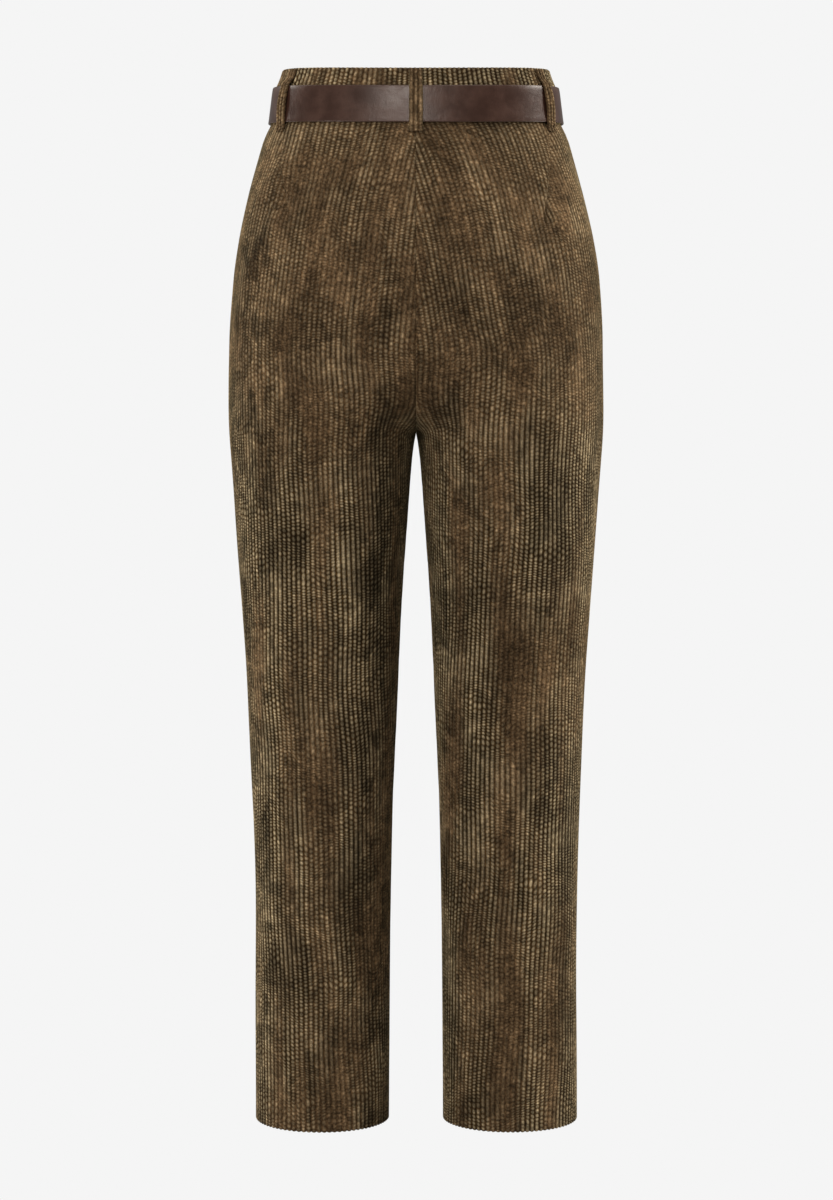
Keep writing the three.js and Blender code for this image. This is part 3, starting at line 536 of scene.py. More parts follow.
def panel(name, side, back, patch_seed):
    """One panel on a side, 1 for the wearer's right.

    It is a closed shell whose columns follow the wales down the grain, so the wales run into the
    seams and the dart as they do in cut cloth.
    """
    end = 0.0 if back else 1.0
    fold_rows = [HEM + HEM_TURN, HEM + HEM_TURN / 2, HEM + 0.35, HEM]
    heights = np.concatenate([np.arange(-12.3, -222, -7.5), [-222]])
    steps = np.linspace(0.02, 0.97, 15)
    down = np.concatenate([np.arange(CROTCH, HEM + 4, -7.8), fold_rows])
    levels = np.concatenate([level_at(heights), 1 + steps, level_at(down)])
    rows = len(levels)
    turns = np.linspace(0.5, end, TURNS)
    sections = hung(levels[:, None], turns[None, :])
    lengths = walked(sections, 1)
    side_heights = sections[:, 0, 2] - waist_rise(0.5, sections[:, 0, 2])
    beyond = sections[..., 0] - reading(GRAIN[name if back else "front"], 1, sections[..., 2])
    columns = np.arange(0, int(400 / WALE) * PER_WALE) * WALE / PER_WALE
    places = np.zeros((rows, len(columns)))
    numbers = np.zeros((rows, len(columns)), int)
    groove = np.zeros((rows, len(columns)))
    for row in range(rows):
        total = lengths[row, -1]
        far_down = (WAIST_SEAM - side_heights[row]) / DART["length"]
        dart_gap = DART["gap"] * max(0.0, 1 - far_down) if back else 0.0
        dart_at = DART["top"] + (DART["tip"] - DART["top"]) * far_down
        place = columns - MIDDLE_WALE + np.interp(0, beyond[row, ::-1], lengths[row, ::-1])
        number = np.arange(len(columns))
        if dart_gap > 0:
            in_gap = (place < dart_at + 0.25) & (place + dart_gap > dart_at - 0.25)
            place = np.where(place < dart_at, np.minimum(place + dart_gap, dart_at), place)
            place[in_gap] = dart_at
            number[in_gap] = number[in_gap][0]
        first = np.searchsorted(place, SEAM_GAP) - 1
        last = np.searchsorted(place, total - SEAM_GAP)
        number = np.clip(number, first, last)
        place = np.clip(place, 0, total)
        place[: first + 1] = 0
        place[last:] = total
        edge = np.minimum(place, total - place)
        groove[row] = SEAM["deep"] * np.clip(1 - edge / SEAM["wide"], 0, 1) ** 1.5
        if dart_gap > 0:
            groove[row] += DART["deep"] * np.clip(1 - np.abs(place - dart_at) / DART["wide"], 0, 1) ** 1.5
        sway = SWAY * uneven(columns, side_heights[row], 300, 95, 31 + side) * np.clip(edge / 25, 0, 1)
        places[row] = place + sway
        numbers[row] = number
    turn = np.stack([np.interp(places[row], lengths[row], turns) for row in range(rows)])
    level_grid = np.repeat(levels[:, None], len(columns), axis=1)

    def laid(level, at, depth):
        """Places of the panel, at their depths below the outside, with the cloth's drape."""
        place = hung(level, at)
        flat = outward(level, at)
        way = np.stack([flat[..., 0], flat[..., 1], 0 * flat[..., 0]], axis=-1)
        near_seam = np.where(level < 2, np.exp(-(((at - end) / 0.03) ** 2)), 0)[..., None]
        way = way + (seam_way(level, end) - way) * near_seam
        slope = np.where((level > 1) & (level < 2), np.sin(np.pi * (level - 1)) * np.cos(np.pi * at) ** 2, 0)
        inwards = depth * (1 + 0.45 * slope * (1 - near_seam[..., 0])) - drape(side, at, place[..., 2])
        place = place - way * inwards[..., None]
        place[..., 0] *= side
        return place

    ridge = (1 - wale_dip(columns / WALE))[None, :] * np.ones((rows, 1))
    full = 0.38 + 0.5 * smooth_step(-230, -360, side_heights)[:, None]
    full = full * (0.85 + 0.35 * uneven(columns[None, :] * 2, side_heights[:, None], 120, 40, 77 + side))
    depth = WALE_RISE * full * (1 - ridge) + groove
    hem_turn = np.clip((side_heights - HEM) / HEM_TURN, 0, 1)
    depth += (0.95 * (1 - np.sqrt(1 - (1 - hem_turn) ** 2 + 1e-9)))[:, None]
    outer = laid(level_grid, turn, depth)
    outer[..., 2] += np.where(hem_turn < 1, (1 - hem_turn) * 0.9, 0)[:, None] * (1 - ridge)
    outer_grain = np.stack([np.repeat(columns[None, :], rows, axis=0), walked(outer)], axis=-1)
    ids = np.arange(rows)[:, None] * len(columns) + numbers

    fold_top = HEM + HEM_ALLOWANCE
    inner_low = level_at([fold_top + 2, fold_top, HEM + 12, HEM + 0.9])
    inner_levels = np.unique(np.concatenate([levels[0 : rows - 8 : 3], inner_low]))
    inner_depth = np.where(inner_levels >= level_at(fold_top) - 1e-9, CLOTH + 1.2, CLOTH)
    share = np.linspace(0, 1, INNER_COLUMNS + 1)
    inner_lengths = np.stack([np.interp(inner_levels, levels, column) for column in lengths.T], axis=1)
    inner_turns = np.stack([np.interp(share, row / row[-1], turns) for row in inner_lengths])
    inner_grid = np.repeat(inner_levels[:, None], len(share), axis=1)
    inner = laid(inner_grid, inner_turns, inner_depth[:, None])
    inner_ids = numbered(inner, rows * len(columns))

    def own(row):
        """The point numbers of a row's own columns, and how far along the row they are."""
        first = np.unique(numbers[row], return_index=True)[1]
        return ids[row][first], places[row][first] / lengths[row, -1]

    faces, kinds = shell_faces(ids, own(0), own(-1), levels, inner_ids, share, inner_levels)
    points = np.concatenate([outer.reshape(-1, 3), inner.reshape(-1, 3)])
    inner_along = np.repeat(-inner[:, :1, 2], len(share), axis=1)
    inner_grain = np.stack([inner_turns * 600, inner_along], axis=-1)
    grain = np.concatenate([outer_grain.reshape(-1, 2), inner_grain.reshape(-1, 2)])
    materials = [corduroy_finish(name + "_corduroy", patch_seed), cloth_back]
    piece = mesh_piece(name + "_cloth", points, faces, materials, kinds, grain)
    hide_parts(name)


panel("back_left", -1, True, 3.1)
panel("back_right", 1, True, 1.7)
panel("front_left", -1, False, 5.3)
panel("front_right", 1, False, 7.9)

# Waistband.
# A stiffened double strip of corduroy with its wales upright, which runs from the right front's
# edge round the back to the left front, and on behind the lap as the underlap.
BAND_TOP = 34.8
BAND_THICK = 3.3
UNDERLAP = 30.0
UNDERLAP_DIP = BAND_THICK + 2.7
CLEAR = 0.35

ring_along = np.linspace(0, 2, 1201)
ring_x, ring_y = seat_ring(np.abs(1 - ring_along), np.zeros(1201))
ring_x = np.where(ring_along <= 1, 1, -1) * ring_x
ring_length = np.concatenate([[0], np.cumsum(np.hypot(np.diff(ring_x), np.diff(ring_y)))])
WAIST = ring_length[-1]
SIDE_SEAM = ring_length[300]


def around_waist(arc, z, out):
    """A place round the waist: arc from the centre front over the wearer's right, height, distance out."""
    arc, z, out = np.broadcast_arrays(np.asarray(arc, float), np.asarray(z, float), np.asarray(out, float))
    along = np.interp(arc % WAIST, ring_length, ring_along)
    side, turn = np.where(along <= 1, 1, -1), np.abs(1 - along)
    x, y = seat_ring(turn, z)
    before, after = seat_ring(np.maximum(turn - 0.004, 0), z), seat_ring(np.minimum(turn + 0.004, 1), z)
    size = np.hypot(after[0] - before[0], after[1] - before[1])
    way_x, way_y = (after[1] - before[1]) / size, (before[0] - after[0]) / size
    return np.stack([side * (x + way_x * out), y + way_y * out, z + waist_rise(turn, z)], axis=-1)


def grain_points(over, along):
    """The cut cloth's map for a grid of points, from its places across and along."""
    return np.stack(np.broadcast_arrays(over[None, :], along[:, None]), axis=-1).reshape(-1, 2)


def waistband():
    """The band as one closed shell, from the right front's edge to the end of the underlap."""
    first, last = -1.5, WAIST + UNDERLAP
    arcs = np.concatenate([[first], np.arange(-1, last - 0.4, WALE / PER_WALE), [last]])
    angles = np.radians(np.arange(0, 91, 18))
    edge = BAND_THICK / 2
    rounded = BAND_TOP - edge * (1 - np.sin(angles))
    heights = np.concatenate([[-12, -11.2, -9.5], np.arange(-6, 32, 4.2), rounded])
    tilt = np.concatenate([np.zeros(len(heights) - len(angles)), angles])
    depth = edge * (1 - np.cos(tilt)) + np.interp(heights, [-12, -9.5], [1.2, 0])
    depth = depth[:, None] + 1.2 * np.clip(1 - np.minimum(arcs - first, last - arcs) / 2, 0, 1)[None, :] ** 2
    worn = 0.85 + 0.15 * uneven(arcs[None, :], heights[:, None], 60, 20, 12)
    valley = WALE_RISE * (1 - (1 - wale_dip(arcs / WALE))[None, :] * worn)
    dip = UNDERLAP_DIP * smooth_step(WAIST - 20, WAIST - 5, arcs)[None, :]
    outer = around_waist(
        arcs[None, :],
        heights[:, None] - valley * np.sin(tilt)[:, None],
        -dip - depth - valley * np.cos(tilt)[:, None],
    )
    inner_arcs = np.linspace(first, last, 190)
    inner_heights = np.array([-12, -6, 8, 20, 29, BAND_TOP - 1.4, BAND_TOP - 0.4])
    inner_depth = BAND_THICK - np.array([0.3, 0, 0, 0, 0, 0.25, 0.9])
    inner_dip = UNDERLAP_DIP * smooth_step(WAIST - 20, WAIST - 5, inner_arcs)[None, :]
    inner = around_waist(inner_arcs[None, :], inner_heights[:, None], -inner_dip - inner_depth[:, None])
    ids = numbered(outer)
    inner_ids = numbered(inner, ids.size)
    top, bottom = (ids[0], arcs), (ids[-1], arcs)
    faces, kinds = shell_faces(ids, top, bottom, heights, inner_ids, inner_arcs, inner_heights)
    grain = np.concatenate([grain_points(arcs, -heights), grain_points(inner_arcs, -inner_heights)])
    points = np.concatenate([outer.reshape(-1, 3), inner.reshape(-1, 3)])
    # The band's copy is a little lighter, as painted light, with painted crest highlights all over.
    materials = [corduroy_finish("waistband_corduroy", 9.4, 1.05, 1.0), cloth_back]
    piece = mesh_piece("waistband_cloth", points, faces, materials, kinds, grain)
    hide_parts("waistband")


waistband()

# Belt loops.
# Five folded strips of the same corduroy with three wales each, sewn on at the waistband's top
# edge and again below it, so that they stand over the belt like small bridges.
LOOP_WIDE = 13.0
LOOP_THICK = 1.9
LOOP_WALES = 3
LOOP_STEP = 0.45
BELT_THICK = 2.6
LAYER_FIRST = CLEAR + BELT_THICK / 2
LAYER_STEP = BELT_THICK + CLEAR
# The loops' copy is painted lighter, as lit, with hardly any crest highlight.
loop_corduroy = corduroy_finish("loop_corduroy", 11.9, 1.25, 0.1)


def swept(name, rings, materials, grain=None, closed=False, face_materials=None):
    """A closed piece through rings of points, one after the other, with its ends filled or joined."""
    count, around = rings.shape[:2]
    ids = numbered(rings)
    ids = np.concatenate([ids, ids[:, :1]], axis=1)
    points = rings.reshape(-1, 3)
    if closed:
        faces = grid_faces(np.concatenate([ids, ids[:1]]))
        return mesh_piece(name, points, faces, materials, face_materials, grain)
    faces = grid_faces(ids)
    for ring, middle, turned in ((ids[0], count * around, False), (ids[-1], count * around + 1, True)):
        fan = [(middle, ring[k], ring[k + 1]) for k in range(around)]
        faces += [face[::-1] for face in fan] if turned else fan
    points = np.concatenate([points, rings[:1].mean(axis=1), rings[-1:].mean(axis=1)])
    if grain is not None:
        grain = np.concatenate([grain, grain[:1], grain[-1:]])
    return mesh_piece(name, points, faces, materials, face_materials, grain)


def eased(path, step, reach):
    """A path of straight parts walked in even steps, with its corners rounded off."""
    path = np.array(path, float)
    length = walked(path)
    walk = np.linspace(0, length[-1], int(length[-1] / step) + 2)
    points = np.stack([np.interp(walk, length, column) for column in path.T], axis=-1)
    wide = max(1, int(reach / step))
    before, after = 2 * points[:1] - points[wide:0:-1], 2 * points[-1:] - points[-2 : -wide - 2 : -1]
    padded = np.concatenate([before, points, after])
    kernel = np.hanning(2 * wide + 3)[1:-1]
    return np.stack([np.convolve(column, kernel / kernel.sum(), "valid") for column in padded.T], axis=-1)


def beside(path, away, closed=False):
    """Both coordinates of the places square to a flat path, at the given distances from it."""
    if closed:
        along = np.roll(path, -1, axis=0) - np.roll(path, 1, axis=0)
    else:
        along = np.gradient(path, axis=0)
    along = along / np.linalg.norm(along, axis=1, keepdims=True)
    return path[:, :1] - along[:, 1:] * away, path[:, 1:] + along[:, :1] * away


def belt_loop(name, arc, belt_out):
    """One loop, at a place round the waist, over a belt that reaches so far out."""
    rest, over = CLEAR + LOOP_THICK / 2, belt_out + CLEAR + LOOP_THICK / 2
    path = [(33.5, rest), (25, rest), (18.8, over), (0, over), (-18.6, over), (-22, rest + 0.4), (-26, rest)]
    path = eased(path, LOOP_STEP, 1.6)
    path[:, 1] += 1.7 * np.cos(np.clip(path[:, 0] / 17, -1, 1) * np.pi / 2)
    run = np.arange(len(path)) * LOOP_STEP
    from_end = np.minimum(run, run[::-1])
    thick = LOOP_THICK * (0.55 + 0.45 * np.sqrt(1 - np.clip(1 - from_end / 1.2, 0, 1) ** 2))
    half = LOOP_WIDE / 2
    over_front = np.linspace(-half, half, LOOP_WALES * 10 + 1)
    rounded = np.sqrt(np.clip(1 - np.clip(np.abs(over_front) - half + 1.1, 0, 1.1) ** 2 / 1.25, 0, 1))
    front = (1 - 0.62 * wale_dip(over_front / LOOP_WIDE * LOOP_WALES + 0.5)) * rounded
    over_back = np.linspace(half - 0.35, -half + 0.35, 7)
    reach = np.concatenate([over_front, over_back])
    rise = np.concatenate([front - 0.5, np.full(len(over_back), -0.5)])
    spread = reach[None, :] * (1 + 0.02 * uneven(path[:, :1], 0, 30, 12, int(arc)))
    rings = around_waist(arc + spread, *beside(path, -rise[None, :] * thick[:, None]))
    pile = reach * WALE * LOOP_WALES / LOOP_WIDE + WALE / 2 + WALE * round(arc)
    piece = swept(name + "_cloth", rings, [loop_corduroy], grain_points(pile, run))
    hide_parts(name)


BELT_OUTSIDE = LAYER_FIRST + BELT_THICK / 2
belt_loop("loop_centre_back", WAIST / 2, BELT_OUTSIDE)
belt_loop("loop_back_right", SIDE_SEAM + DART["top"], BELT_OUTSIDE)
belt_loop("loop_back_left", WAIST - SIDE_SEAM - DART["top"], BELT_OUTSIDE)
belt_loop("loop_front_right", 95.0, BELT_OUTSIDE + LAYER_STEP)
belt_loop("loop_front_left", WAIST - 95, BELT_OUTSIDE)

# Fly facing and shield.
# Two flat strips of the corduroy behind the front edges, smooth side inwards. The facing is held
# by a curved row of stitches through the right front, the shield lies behind the zip.
FLY_TOP = -14.0
FLY_END = -165.0


def front_depth(x, z):
    """How far forward the outside of the front stands."""
    share = np.minimum(1, np.abs(x) / reading(SEAT, 1, z))
    return reading(SEAT, 3, z) * (1 - share**SQUARENESS) ** (1 / SQUARENESS)


def front_patch(name, reach, heights, depths, materials, step=2.0, edge=0.3):
    """A flat piece behind the front, between two depths, with eased edges."""
    near, deep = depths
    middle, half = (near + deep) / 2, (deep - near) / 2
    angles = np.radians(np.arange(0, 91, 30))
    low, high = reach
    across_near = np.linspace(low + edge, high - edge, max(3, int((high - low) / step)))
    round_high = [(high - edge + edge * math.sin(a), -half * math.cos(a)) for a in angles[1:]]
    round_low = [(low + edge - edge * math.cos(a), -half * math.sin(a)) for a in angles[:-1]]
    section = [(x, -half) for x in across_near] + round_high
    section += [(x, -y) for x, y in section[::-1]][1:]
    section += [(x, -y) for x, y in round_low[::-1]][::-1] + round_low
    section = np.array(section)
    top, bottom = heights
    rows = np.linspace(top, bottom, max(4, int((top - bottom) / 4)))
    x = np.broadcast_to(section[None, :, 0], (len(rows), len(section)))
    z = np.broadcast_to(rows[:, None], x.shape)
    y = front_depth(x, z) - middle - section[None, :, 1]
    rings = np.stack([x, y, z], axis=-1)
    grain = np.stack([x, -z], axis=-1).reshape(-1, 2)
    return swept(name, rings, materials, grain)


for node, reach, depths, sheet_under in (
    ("fly_facing", (6.5, 38), (2.8, 4.1), "front_right_cloth"),
    ("fly_shield", (-32, 18), (6.9, 8.3), "waistband_cloth"),
):
    strip = front_patch(node + "_cloth", reach, (FLY_TOP, FLY_END), depths, [cloth_back])
    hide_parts(node)

# Fly zip.
# Two woven tapes with metal teeth between them, closed, and a metal slider with its pull at the top.
SLIDER_TOP = -16.0
SLIDER_LONG = 11.0


def tape_finish():
    """Dark woven tape with a fine herringbone."""
    material, tree = finish_of("zip_tape_weave", 0.85, 0.25)
    _, over, along = grain_of(tree)
    slant = calc(tree, "PINGPONG", over, 0.0015)
    rib = calc(tree, "SINE", times(tree, calc(tree, "ADD", along, slant), 7000.0))
    colour = blend(tree, ramp(tree, rib, -1.0, 1.0), (0.012, 0.009, 0.007, 1), (0.04, 0.03, 0.022, 1))
    return finished(material, colour, (rib, 0.5, 0.0002))


def metal_finish(name, colour, roughness, worn):
    """Plated metal with a soft cloudy polish and fine rubbing marks."""
    material, tree = finish_of(name, roughness, 0.5, metallic=1.0)
    place = put(tree, "ShaderNodeTexCoord", {}, 3)
    cloud = noise(tree, place, 240.0, 4.0, Roughness=0.6)
    marks = noise(tree, place, 1800.0, 2.0)
    wear_and_shade = blend(tree, ramp(tree, cloud, 0.35, 0.7), colour, worn)
    polish = ramp(tree, cloud, 0.3, 0.75, roughness - 0.08, roughness + 0.12)
    return finished(material, wear_and_shade, (marks, 0.12, 0.0001), polish)


tape_weave = tape_finish()
zip_metal = metal_finish("zip_metal_finish", (0.36, 0.27, 0.14, 1), 0.34, (0.22, 0.16, 0.09, 1))
for node, reach in (("zip_tape_right", (3.2, 15)), ("zip_tape_left", (-15, -3.2))):
    tape = front_patch(node + "_woven", reach, (FLY_TOP, FLY_END), (4.6, 5.4), [tape_weave], 1.5, 0.2)
    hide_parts(node)


def line_object(name, points):
    """A bare line of edges through millimetre points."""
    mesh = bpy.data.meshes.new(name)
    points = np.asarray(points, float) * 0.001
    mesh.from_pydata(points.tolist(), [(k, k + 1) for k in range(len(points) - 1)], [])
    line = bpy.data.objects.new(name, mesh)
    bpy.context.scene.collection.objects.link(line)
    return line


def set_along(name, line, sizes, shape, turn, material, shift=None):
    """Sets one small shape again and again along a line with Geometry Nodes, and keeps the plain mesh."""
    tree = bpy.data.node_groups.new(name, "GeometryNodeTree")
    add_socket = tree.interface.new_socket
    add_socket("Geometry", in_out="INPUT", socket_type="NodeSocketGeometry")
    sockets = {label: add_socket(label, in_out="INPUT", socket_type="NodeSocketFloat") for label in sizes}
    add_socket("Geometry", in_out="OUTPUT", socket_type="NodeSocketGeometry")
    source = tree.nodes.new("NodeGroupInput").outputs
    curve = put(tree, "GeometryNodeMeshToCurve", {"Mesh": source["Geometry"]})
    spacing = {"Curve": curve, "Length": source["Pitch"]}
    places = put(tree, "GeometryNodeResampleCurve", spacing, mode="LENGTH")
    tangent = put(tree, "GeometryNodeInputTangent", {})
    facing = put(tree, "FunctionNodeAlignRotationToVector", {"Vector": tangent}, axis="X")
    if shift is not None:
        index = put(tree, "GeometryNodeInputIndex", {})
        step = calc(tree, "MULTIPLY_ADD", calc(tree, "MODULO", index, 2.0), 2.0, -1.0)
        offset = put(tree, "ShaderNodeCombineXYZ", {0: times(tree, step, source[shift])})
        places = put(tree, "GeometryNodeSetPosition", {"Geometry": places, "Offset": offset})
    inputs = {"Points": places, "Instance": shape(tree, source), "Rotation": facing if turn else (0, 0, 0)}
    laid = put(tree, "GeometryNodeInstanceOnPoints", inputs)
    real = put(tree, "GeometryNodeRealizeInstances", {"Geometry": laid})
    dressed = put(tree, "GeometryNodeSetMaterial", {"Geometry": real, "Material": material})
    end = tree.nodes.new("NodeGroupOutput")
    tree.links.new(dressed, end.inputs[0])
    modifier = line.modifiers.new(name, "NODES")
    modifier.node_group = tree
    for label, value in sizes.items():
        modifier[sockets[label].identifier] = value
    kept = bpy.data.meshes.new_from_object(line.evaluated_get(bpy.context.evaluated_depsgraph_get()))
    line.modifiers.remove(modifier)
    line.data = kept
    kept.polygons.foreach_set("use_smooth", np.ones(len(kept.polygons), bool))
    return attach(line, "root")


def tooth(tree, source):
    """A small round-edged bar across the zip."""
    inputs = {"Vertices": 12, "Radius": source["Radius"], "Depth": source["Width"]}
    bar = put(tree, "GeometryNodeMeshCylinder", inputs)
    return put(tree, "GeometryNodeTransform", {"Geometry": bar, "Rotation": (0, math.pi / 2, 0)})


teeth_top = SLIDER_TOP - SLIDER_LONG * 0.55
teeth_heights = np.linspace(teeth_top, FLY_END + 4, 40)
teeth_line = np.stack([0 * teeth_heights, front_depth(0, teeth_heights) - 5.0, teeth_heights], axis=-1)
teeth_sizes = {"Pitch": 0.0013, "Radius": 0.00055, "Width": 0.0036, "Side Step": 0.0009}
teeth_row = line_object("zip_teeth_metal", teeth_line)
teeth = set_along("zip_teeth_metal", teeth_row, teeth_sizes, tooth, False, zip_metal, "Side Step")
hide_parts("zip_teeth")


def joined(name, pieces):
    """Joins meshes that are parts of one made thing."""
    with bpy.context.temp_override(active_object=pieces[0], selected_editable_objects=pieces):
        bpy.ops.object.join()
    pieces[0].name = name
    return pieces[0]


slider_parts = [
    front_patch(name, reach, (SLIDER_TOP - start, SLIDER_TOP - end), depths, [zip_metal], step, edge)
    for name, reach, start, end, depths, step, edge in (
        ("slider_front", (-4, 4), 0, SLIDER_LONG, (3.4, 4.1), 1.0, 0.35),
        ("slider_back", (-4, 4), 0, SLIDER_LONG, (5.8, 6.5), 1.0, 0.35),
        ("slider_post", (-1.2, 1.2), 0, SLIDER_LONG / 2, (4, 6), 0.8, 0.3),
        ("slider_pull", (-2.3, 2.3), 3, 26, (2.75, 3.5), 1.0, 0.35),
    )
]
slider = joined("zip_slider_metal", slider_parts)
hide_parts("zip_slider")

# Fly stitching.
# One row of thread in the colour of the cloth, which fixes the facing: straight down from the
# waistband and round in a curve to the centre seam below the zip.
thread_finish, thread_tree = finish_of("brown_thread", 0.7, 0.3)
thread_twist = noise(thread_tree, put(thread_tree, "ShaderNodeTexCoord", {}, 3), 2500.0, 2.0)
finished(thread_finish, blend(thread_tree, thread_twist, (0.05, 0.034, 0.018, 1), (0.13, 0.092, 0.05, 1)))


def stitch(tree, source):
    """One stitch: a long round grain of thread."""
    ball = put(tree, "GeometryNodeMeshIcoSphere", {"Radius": 1.0, "Subdivisions": 2})
    thread = source["Thread"]
    scale = put(tree, "ShaderNodeCombineXYZ", {0: source["Half Length"], 1: thread, 2: thread})
    return put(tree, "GeometryNodeTransform", {"Geometry": ball, "Scale": scale})


down = np.linspace(-16, -132, 30)
bend = np.radians(np.linspace(0, 82, 16))[1:]
row_x = np.concatenate([np.full(30, 34.0), 2 + 32 * np.cos(bend)])
row_z = np.concatenate([down, -132 - 28 * np.sin(bend)])
row_points = np.stack([row_x, front_depth(row_x, row_z) - 0.35, row_z], axis=-1)
stitch_sizes = {"Pitch": 0.0036, "Half Length": 0.0014, "Thread": 0.0003}
fly_line = line_object("fly_stitching", row_points)
fly_row = set_along("fly_stitching", fly_line, stitch_sizes, stitch, True, thread_finish)

# Waistband hook and bar.
# A pressed metal hook inside the lap and a flat bar on the underlap, which hold each other.
hook_metal = metal_finish("hook_metal_finish", (0.34, 0.33, 0.31, 1), 0.3, (0.22, 0.21, 0.2, 1))
HOOK_NEAR = BAND_THICK + CLEAR
HOOK_PLATE = 0.8
hook_parts = [
    front_patch("hook_plate", (8, 20), (22, 10), (HOOK_NEAR, HOOK_NEAR + HOOK_PLATE), [hook_metal], 1.5, 0.3),
    front_patch("hook_lip", (7.2, 8.4), (22, 10), (HOOK_NEAR, HOOK_NEAR + 1.9), [hook_metal], 0.4, 0.3),
]
hook = joined("waist_hook_metal", hook_parts)
bar_near = HOOK_NEAR + HOOK_PLATE + 0.3
bar_depths = (bar_near, bar_near + HOOK_PLATE)
bar = front_patch("waist_bar_metal", (8.8, 20), (21, 11), bar_depths, [hook_metal], 1.5, 0.3)
for metal_piece, node in ((hook, "waist_hook"), (bar, "waist_bar")):
    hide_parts(node)

# Belt strap.
# Dark brown smooth leather, satin with a faint grain, its edges rounded off and edge-painted, lighter as a
# painted highlight. Its end is folded back round the buckle's hinge bar, and its tail passes through the
# buckle and keeper.
BELT_WIDE = 35.0
FOLD_BACK = 48.0
TAIL_END = 165.0
TAIL_TIP = 12.0
BAR_RADIUS = 1.5
BAR_OUT = 4.75
BAR_REACH = -34.0
LAYER_MAIN = 6.15
LAYER_WRAP = BAR_OUT + BAR_RADIUS + 0.3 + BELT_THICK / 2
PRONG_WIDE = 3.4
HOLE_PITCH = 25.0
USED_HOLE = -12.0


def leather_finish():
    """Dark brown leather: fine grain, cloudy shine, faint upright creases, and edge paint made lighter as a
    painted highlight along the edges.
    """
    coat = {"coat_weight": 0.05, "coat_roughness": 0.3, "specular_tint": (1.0, 0.88, 0.8, 1)}
    material, tree = finish_of("dark_leather", 0.34, 0.38, **coat)
    grain, _, above = grain_of(tree)
    upright = put(tree, "ShaderNodeVectorMath", {0: grain, 1: (1.0, 0.22, 1.0)}, operation="MULTIPLY")
    cloud = noise(tree, grain, 45.0, 4.0, Roughness=0.6)
    crease = noise(tree, upright, 260.0, 3.0, Roughness=0.55, Distortion=0.6)
    pores = {"Vector": grain, "Scale": 1100.0, "Randomness": 1.0}
    pore = put(tree, "ShaderNodeTexVoronoi", pores, feature="F1")
    colour = blend(tree, ramp(tree, cloud, 0.35, 0.7), (0.03, 0.012, 0.0075, 1), (0.05, 0.0215, 0.014, 1))
    # Edge paint on both edges, lighter than the face as a painted highlight.
    edge = ramp(tree, calc(tree, "ABSOLUTE", above), 0.0168, 0.0174)
    colour = blend(tree, edge, colour, (0.07, 0.042, 0.031, 1))
    creased = times(tree, crease, 1.6, ramp(tree, cloud, 0.42, 0.68))
    height = calc(tree, "MULTIPLY_ADD", pore, 0.3, creased)
    return finished(material, colour, (height, 0.3, 0.0004), ramp(tree, cloud, 0.3, 0.75, 0.28, 0.4))


leather = leather_finish()


def strap_out(arc):
    """How far out the strap's middle runs: it rises from the waistband to wrap the buckle's bar."""
    main = LAYER_FIRST + (LAYER_MAIN - LAYER_FIRST) * (1 - smooth_step(50, 76, arc))
    return main + (LAYER_WRAP - LAYER_MAIN) * (1 - smooth_step(2, 14, arc))


def tail_out(arc):
    """How far out the tail's middle runs, over the buckle's bar and on over the strap."""
    outside_buckle = LAYER_FIRST + (LAYER_WRAP + LAYER_STEP - LAYER_FIRST) * smooth_step(-25, -1, arc)
    return np.where(arc < 0, outside_buckle, strap_out(arc) + LAYER_STEP)


def belt_path():
    """The whole strap's middle line, from its folded end round the bar and the waist to its tip."""
    folded = np.arange(FOLD_BACK, 0, -3.0)
    wrap = np.radians(np.arange(90, 271, 10))
    reach = LAYER_WRAP - BAR_OUT
    strap = np.concatenate([np.arange(2.5, 90, 2.5), np.arange(90, WAIST - 60, 4)])
    tail = np.arange(-58, TAIL_END - TAIL_TIP, 2.5)
    tip = TAIL_END - TAIL_TIP + TAIL_TIP * np.sin(np.radians(np.arange(0, 78, 7)))
    tail = np.concatenate([tail[tail < tip[0] - 1], tip])
    arcs = np.concatenate([folded, reach * np.cos(wrap), strap, WAIST + tail])
    wrapped = BAR_OUT - reach * np.sin(wrap)
    outs = np.concatenate([np.full(len(folded), LAYER_FIRST), wrapped, strap_out(strap), tail_out(tail)])
    return np.stack([arcs, outs], axis=-1)


def strap_section(thick, edge):
    """A flat strip's section, with rounded edges and a crown: share of the width, distance off, height."""
    corner = np.radians(np.arange(0, 91, 22.5))
    flat = np.linspace(-1, 1, 9)[1:-1]
    face = [(flat_at, 0.0, thick / 2 + 0.12 * (1 - flat_at**2)) for flat_at in flat]
    right = [(1.0, edge * (math.sin(a) - 1), thick / 2 - edge + edge * math.cos(a)) for a in corner]
    left = [(-1.0, edge * (1 - math.cos(a)), thick / 2 - edge + edge * math.sin(a)) for a in corner]
    front = left + face + right
    return np.array(front + [(share, off, -away) for share, off, away in front[::-1]])


def cutter(arc, long, wide, middle, deep):
    """A round or long punch through one layer of the strap."""
    angle = np.linspace(0, 2 * np.pi, 25)[:-1]
    levels = np.array([middle - deep, middle + deep])[:, None]
    rings = around_waist(arc + long / 2 * np.cos(angle)[None, :], wide / 2 * np.sin(angle)[None, :], levels)
    return swept("punch", rings, [leather], np.zeros((48, 2)))


